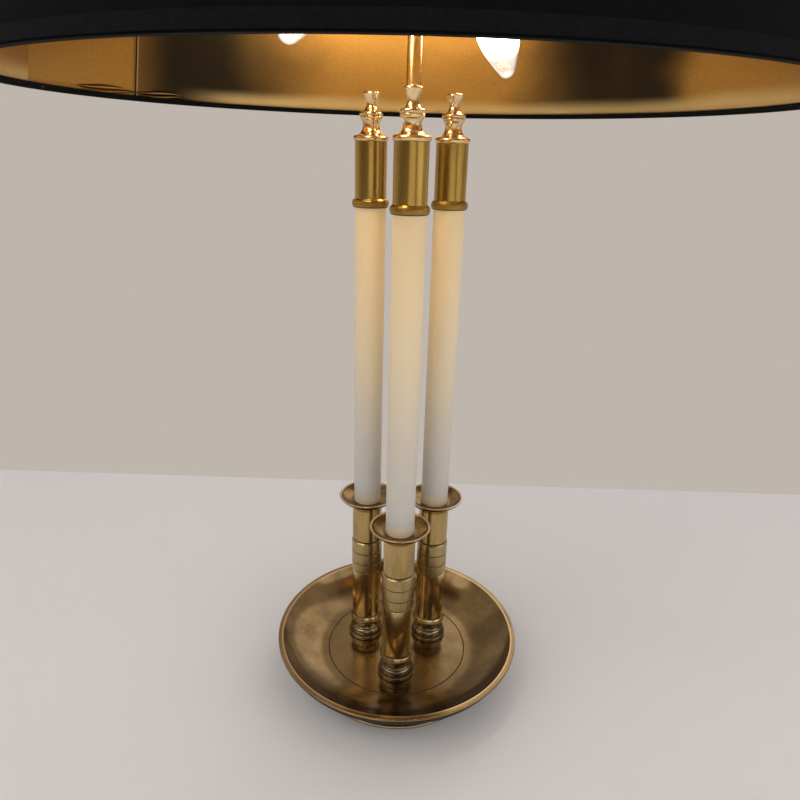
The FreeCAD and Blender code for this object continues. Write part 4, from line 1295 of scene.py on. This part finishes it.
@dataclass
class Cluster(Assembly):
    """Body on the stem with the turn switch and two tipped lamp holders."""

    height: float = 624.8
    radius: float = 17.0
    bearing: float = 46.0
    bend: float = 18.0
    bend_start: float = 35.6
    tilt: float = 29.9
    kept = {"switch_knob": "black_insulation"}
    kept_on_each_arm = {
        "socket_liner": "black_insulation", "bulb_cap": "nickel_cap",
        "bulb_filament": "lamp_filament",
    }

    def core(self) -> None:
        """Turn the cluster's body."""
        low, middle, high = self.height - 12.0, self.height, self.height + 12.0
        mesh = lathe(
            (5.0, low), (9.0, low), (self.radius, middle - 3.0, -0.3, 12),
            (self.radius, middle + 3.0), (9.0, high, -0.3, 12), (5.0, high), rounding=0.3,
        )
        self.add("turned_cluster", mesh, "polished_brass", "cluster_body")

    def arm(self, name: str, bearing: float) -> None:
        """Bend one arm tube.

        Args:
            name: The arm's side, right or left.
            bearing: Direction from the lamp's axis, in degrees.
        """
        start, radius, lean = 9.0, 4.0, math.radians(self.tilt)
        mesh = bmesh.new()
        facing = Matrix.Rotation(math.radians(90), 4, "Y")
        bmesh.ops.create_circle(
            mesh, cap_ends=True, segments=36, radius=radius * MM,
            matrix=Matrix.Translation(spot(start, self.height)) @ facing,
        )
        end = self.push(mesh, mesh.faces[:], spot(self.bend_start - start, 0.0))
        made = bmesh.ops.spin(
            mesh, geom=end, cent=spot(self.bend_start, self.height - self.bend),
            axis=(0.0, 1.0, 0.0), angle=math.radians(90.0 - self.tilt), steps=18,
        )
        end = [item for item in made["geom_last"] if isinstance(item, bmesh.types.BMFace)]
        self.push(mesh, end, spot(5.0 * math.sin(lean), -5.0 * math.cos(lean)))
        clean(mesh)
        moved(mesh, Matrix.Rotation(math.radians(bearing), 4, "Z"))
        self.add(f"bent_lamp_arm_{name}", mesh, "polished_brass", f"lamp_arm_{name}")

    def push(
        self, mesh: BMesh, faces: list[bmesh.types.BMFace], way: Vector
    ) -> list[bmesh.types.BMFace]:
        """Extrude faces by a way.

        Args:
            mesh: The mesh that holds them.
            faces: The faces to carry on.
            way: How far they go.

        Returns:
            The faces at the new end.
        """
        made = bmesh.ops.extrude_face_region(mesh, geom=faces)
        fresh = [item for item in made["geom"] if isinstance(item, bmesh.types.BMVert)]
        bmesh.ops.translate(mesh, vec=way, verts=fresh)
        return [item for item in made["geom"] if isinstance(item, bmesh.types.BMFace)]

    def hanging(self, bearing: float) -> Matrix:
        """The place of a lamp's own axis at the end of its arm's bend.

        Args:
            bearing: Direction from the lamp's axis, in degrees.

        Returns:
            The placing matrix.
        """
        lean = math.radians(self.tilt)
        reach = self.bend_start + self.bend * math.cos(lean)
        height = self.height - self.bend * (1 - math.sin(lean))
        return aimed(reach, bearing, height, 180.0 - self.tilt)

    def shell(self, name: str, bearing: float) -> None:
        """Spin the lamp holder's shell.

        Args:
            name: The arm's side, right or left.
            bearing: Direction from the lamp's axis, in degrees.
        """
        mesh = lathe(
            (4.0, 0.0), (6.5, 0.0), (6.5, 3.0), (14.2, 10.0, 0.2, 10), (14.2, 34.0),
            (14.2, 37.4, -0.3, 6), (14.2, 38.0), (13.3, 38.0), (13.3, 10.0), (6.5, 6.0),
            (4.0, 6.0),
        )
        node = f"socket_shell_{name}"
        self.add(f"spun_{node}", moved(mesh, self.hanging(bearing)), "satin_brass", node)

    def bulb(self, name: str, bearing: float) -> None:
        """Blow the candle-shaped bulb.

        Args:
            name: The arm's side, right or left.
            bearing: Direction from the lamp's axis, in degrees.
        """
        mesh = lathe(
            (0.0, 112.6), (5.6, 108.4, 0.34, 10), (16.7, 70.0, 0.12, 20),
            (7.6, 39.0, 0.10, 14), (8.4, 39.0), (17.5, 70.0, -0.10, 14),
            (6.4, 108.9, -0.12, 20), (0.0, 113.7, -0.34, 10), flats=72, rounding=0.0,
        )
        node = f"bulb_glass_{name}"
        self.add(f"blown_{node}", moved(mesh, self.hanging(bearing)), "clear_glass", node)

    def shape(self) -> None:
        """Make every piece of the cluster."""
        self.core()
        for name, turn in (("right", 0.0), ("left", 180.0)):
            for make in (self.arm, self.shell, self.bulb):
                make(name, self.bearing + turn)
            for node, finish in self.kept_on_each_arm.items():
                self.bench.dress(f"{node}_{name}", finish)


@dataclass
class Shade(Assembly):
    """The broad drum shade on its wire frame."""

    base: float = 494.6
    height: float = 250.0
    bottom: float = 272.0
    top: float = 222.0
    trim: float = 0.6
    skin: float = 1.2
    lining: float = 0.4
    wire: float = 1.6
    gap: float = 0.1
    ring_drop: float = 6.8
    hub_base: float = 731.0
    hub_top: float = 734.0
    steps: int = 288
    body = "shade"

    def face(self, height: float) -> float:
        """The skin's outer radius at a height above the shade's base."""
        return self.bottom - self.trim - self.slope() * height

    def slope(self) -> float:
        """How far the shade's side leans in for each millimetre up."""
        return (self.bottom - self.top) / self.height

    def band(self, *corners: Corner) -> BMesh:
        """Turn a closed section round the shade, its heights above the shade's base."""
        lifted = [(radius, self.base + height, *arc) for radius, height, *arc in corners]
        return lathe(*lifted, flats=self.steps, rounding=0.0)

    def wall(self, inset: float, thickness: float) -> BMesh:
        """A conical wall of the shade, inset from the skin's face.

        Args:
            inset: How far inside the skin's face it lies, in millimetres.
            thickness: The wall's thickness, in millimetres.

        Returns:
            The wall.
        """
        low, high, rings = self.trim, self.height - self.trim, 12
        levels = [low + (high - low) * index / rings for index in range(rings + 1)]
        outside = [(self.face(level) - inset, level) for level in levels]
        inside = [(radius - thickness, level) for radius, level in reversed(outside)]
        return self.band(*outside, *inside)

    def bottom_tape(self) -> BMesh:
        """Fold the binding round the bottom edge.

        Returns:
            The tape.
        """
        height, trim, bottom = 7.5, self.trim, self.bottom
        paper = self.skin + self.lining
        inner = self.face(trim + self.wire) - paper - 2 * (self.wire + self.gap)
        return self.band(
            (self.face(trim), trim), (self.face(height), height),
            (bottom - self.slope() * height, height - 0.3, -0.5, 4), (bottom, 1.2),
            (bottom - 1.2, 0.1, -0.35, 5), (inner + 0.8, 0.1, -0.04, 4),
            (inner - trim, 1.2, -0.35, 5), (inner - trim, 4.0), (inner, 4.2, -0.7, 4),
            (inner, trim),
        )

    def top_tape(self) -> BMesh:
        """Fold the binding over the top edge.

        Returns:
            The tape.
        """
        height, edge, full = self.height - 7.5, self.height - self.trim, self.height
        inner = self.face(edge) - self.skin - self.lining
        return self.band(
            (self.face(edge), edge), (inner, edge), (inner, full - 3.0),
            (inner - self.trim, full - 3.0), (inner - self.trim, full - 0.6),
            (inner, full, 0.35, 5), (self.top - 0.8, full), (self.top + 0.15, full - 0.8, 0.35, 5),
            (self.bottom - self.slope() * height, height), (self.face(height), height),
        )

    def hoop(self, level: float) -> tuple[BMesh, float]:
        """Bend a wire ring inside the lining at a level over the base, and give its reach."""
        reach = self.face(level) - self.skin - self.lining - self.wire - self.gap
        return ring(reach, self.base + level, self.wire, self.steps), reach

    def spider(self) -> BMesh:
        """Solder the top ring, three arms and the hub.

        Returns:
            The spider.
        """
        level, base, top = self.height - self.ring_drop, self.hub_base, self.hub_top
        mesh, reach = self.hoop(level)
        hub = (6.55, base), (11.5, base), (11.5, top), (6.55, top)
        join(mesh, lathe(*hub, flats=64, rounding=0.25))
        start, low = 9.9, 732.7
        run, rise = reach - start, self.base + level - low
        lean = math.degrees(math.atan2(rise, run))
        for bearing in (90.0, 210.0, 330.0):
            arm = rod(self.wire, math.hypot(run, rise))
            moved(arm, aimed(start, bearing, low, 90.0 - lean))
            join(mesh, arm, self.solder(reach, bearing, self.base + level, 2.5))
        return mesh

    def solder(self, reach: float, bearing: float, height: float, size: float) -> BMesh:
        """A flattened drop of solder where wires meet.

        Args:
            reach: Distance from the lamp's axis, in millimetres.
            bearing: Direction from the lamp's axis, in degrees.
            height: Height above the table, in millimetres.
            size: The drop's radius, in millimetres.

        Returns:
            The drop.
        """
        mesh = bmesh.new()
        drop = polar(reach - 1.0, bearing, height) @ Matrix.Scale(0.8, 4, UP)
        bmesh.ops.create_icosphere(mesh, subdivisions=3, radius=size * MM, matrix=drop)
        return mesh

    def shape(self) -> None:
        """Make every piece of the shade."""
        bottom_ring, _ = self.hoop(self.trim + self.wire)
        foil = self.wall(self.skin, self.lining)
        self.add("cloth_skin", self.wall(0.0, self.skin), "black_fabric", "shade_skin")
        self.add("foil_lining", foil, "gold_foil", "shade_lining")
        self.add("bottom_ring", bottom_ring, "shade_wire", "shade_ring_bottom")
        self.add("bottom_binding", self.bottom_tape(), "charcoal_tape", "shade_trim_bottom")
        self.add("top_binding", self.top_tape(), "charcoal_tape", "shade_trim_top")
        self.add("soldered_spider", self.spider(), "shade_wire", "shade_spider")


@dataclass
class Carriage(Assembly):
    """The collar that slides on the stem, its cap nut and clamp key."""

    base: float = 700.0
    hub: float = 731.0
    top: float = 740.0
    key_bearing: float = -60.0
    key_height: float = 712.0
    body = "carriage"
    kept = {"clamp_key": "polished_brass"}

    def collar(self) -> None:
        """Turn the sliding collar with the key's boss."""
        sleeve = lathe(
            (5.05, self.base), (10.0, self.base), (10.0, 725.0), (12.5, 727.0, 0.2, 4),
            (12.5, self.hub), (6.5, self.hub), (6.5, self.top), (5.05, self.top), rounding=0.25,
        )
        boss = moved(rod(4.6, 4.0, 48), aimed(7.0, self.key_bearing, self.key_height, 90.0))
        mesh = join(sleeve, break_edges(boss, 0.25))
        self.add("turned_carriage", mesh, "polished_brass", "shade_carriage")

    def nut(self) -> None:
        """Turn the domed cap nut over the hub."""
        mesh = lathe(
            (6.5, 734.2), (10.0, 734.2), (10.0, 737.1), (7.1, self.top, -0.3, 8),
            (6.5, self.top),
        )
        self.add("turned_capnut", mesh, "polished_brass", "carriage_capnut")

    def shape(self) -> None:
        """Make every piece of the carriage."""
        self.collar()
        self.nut()


# Setting


@dataclass(frozen=True)
class Softbox:
    """One soft studio lamp."""

    name: str
    place: Point
    aim: Point
    size: float
    power: float
    colour: Colour = (1.0, 1.0, 1.0)

    def hang(self) -> None:
        """Put the lamp in the scene."""
        data = bpy.data.lights.new(self.name, "AREA")
        data.shape = "DISK"
        data.size = self.size
        data.energy = self.power
        data.color = self.colour
        lamp = bpy.data.objects.new(self.name, data)
        lamp.location = self.place
        lamp.rotation_mode = "QUATERNION"
        way = Vector(self.aim) - Vector(self.place)
        lamp.rotation_quaternion = way.to_track_quat("-Z", "Y")
        bpy.context.scene.collection.objects.link(lamp)


@dataclass
class Studio:
    """Table, background, lamps and camera."""

    table_colour: Colour = paint(214, 210, 206)
    wall_colour: Colour = paint(190, 181, 173)
    room_colour: Colour = paint(104, 98, 92)
    light_colour: Colour = paint(206, 205, 208)
    wall_line: float = 0.365
    table_half: float = 1.6
    eye: Point = (0.0, -0.5015, 0.4607)

    def table(self) -> None:
        """Lay the plain pale table top, its far edge where the wall begins."""
        surface = Surface("pale_table")
        tone = surface.noise((3.0, 3.0, 3.0), 2.0)
        surface.set(base_color=surface.blend(self.table_colour, self.wall_colour, tone * 0.1))
        surface.set(roughness=0.55, specular_ior_level=0.3)
        mesh = bmesh.new()
        bmesh.ops.create_grid(mesh, x_segments=1, y_segments=1, size=self.table_half)
        middle = (0.0, self.wall_line - self.table_half, 0.0)
        bmesh.ops.translate(mesh, vec=middle, verts=mesh.verts)
        data = bpy.data.meshes.new("table_top")
        mesh.to_mesh(data)
        mesh.free()
        data.materials.append(surface.material)
        table = bpy.data.objects.new("table_top", data)
        bpy.context.scene.collection.objects.link(table)
        table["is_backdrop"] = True

    def background(self) -> None:
        """Surround the lamp with a pale wall, darker behind the viewer where metal mirrors it."""
        world = bpy.data.worlds.new("pale_room")
        world.use_nodes = True
        graph = Graph(world.node_tree)
        way = graph.node("ShaderNodeTexCoord", {}, {}, "Generated")
        ahead = graph.node("ShaderNodeSeparateXYZ", {}, {0: way}, "Y")
        room = graph.blend(self.room_colour, self.wall_colour, graph.window(ahead, -0.6, 0.5))
        camera, glossy, through = (
            graph.node("ShaderNodeLightPath", {}, {}, f"Is {ray} Ray")
            for ray in ("Camera", "Glossy", "Transmission")
        )
        seen = graph.blend(self.light_colour, room, glossy)
        seen = graph.blend(seen, self.wall_colour, graph.math("MAXIMUM", camera, through))
        background = world.node_tree.nodes["Background"]
        graph.feed(background.inputs["Color"], seen)
        graph.feed(background.inputs["Strength"], 1.0)
        bpy.context.scene.world = world

    def camera(self) -> None:
        """Stand the camera where the photograph was taken."""
        turn, down, roll = -0.0064, 0.3639, -0.0285
        focal, sensor, frame = 655.0, 36.0, 800.0
        ahead = Vector(
            (math.sin(turn) * math.cos(down), math.cos(turn) * math.cos(down), -math.sin(down))
        )
        level = ahead.cross(UP).normalized()
        under = ahead.cross(level)
        across = level * math.cos(roll) + under * math.sin(roll)
        below = under * math.cos(roll) - level * math.sin(roll)
        data = bpy.data.cameras.new("viewpoint")
        data.sensor_width = sensor
        data.lens = focal * sensor / frame
        data.clip_start = 0.01
        viewpoint = bpy.data.objects.new("viewpoint", data)
        axes = Matrix((across, -below, -ahead)).transposed()
        viewpoint.matrix_world = Matrix.Translation(self.eye) @ axes.to_4x4()
        bpy.context.scene.collection.objects.link(viewpoint)
        bpy.context.scene.camera = viewpoint

    def build(self, lamps: Sequence[Softbox]) -> None:
        """Make the setting and hang the lamps.

        Args:
            lamps: The lamps to hang.
        """
        self.table()
        self.background()
        self.camera()
        for lamp in lamps:
            lamp.hang()
        bpy.context.scene.view_settings.view_transform = "Standard"


LAMPS = (
    Softbox("key", (-1.5, -1.3, 2.0), (0.0, 0.0, 0.2), 3.0, 24.0),
    Softbox("fill", (1.9, -1.0, 1.1), (0.0, 0.0, 0.3), 2.4, 12.0),
    Softbox("low_front", (0.3, -2.0, 0.15), (0.0, 0.1, 0.5), 1.6, 4.0, (1.0, 0.96, 0.9)),
    Softbox("back", (0.9, 1.8, 1.6), (0.0, 0.0, 0.4), 2.0, 6.0),
    Softbox("glint_left", (-0.7, -0.76, 1.42), (0.0, 0.0, 0.05), 0.14, 0.6, (1.0, 0.86, 0.62)),
    Softbox("glint_right", (0.69, -1.01, 1.26), (0.0, 0.0, 0.05), 0.14, 0.6, (1.0, 0.86, 0.62)),
)


def corners() -> list[list[float]]:
    """The shown object's lowest and highest corner as plain lists."""
    return [list(corner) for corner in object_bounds()]


def main() -> None:
    """Load the solids, build every sub-assembly and set the scene."""
    logging.basicConfig(level=logging.INFO, format="%(name)s: %(message)s")
    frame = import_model()
    bench = Bench({finish.name: finish.material() for finish in FINISHES}, frame["nodes"])
    Base(bench).build()
    for name, bearing in (("front", -90.0), ("right", 30.0), ("left", 150.0)):
        Candle(bench, name, bearing).build()
    for assembly in (Stem, Cluster, Shade, Carriage):
        assembly(bench).build()
    Studio().build(LAMPS)


if __name__ == "__main__":
    main()
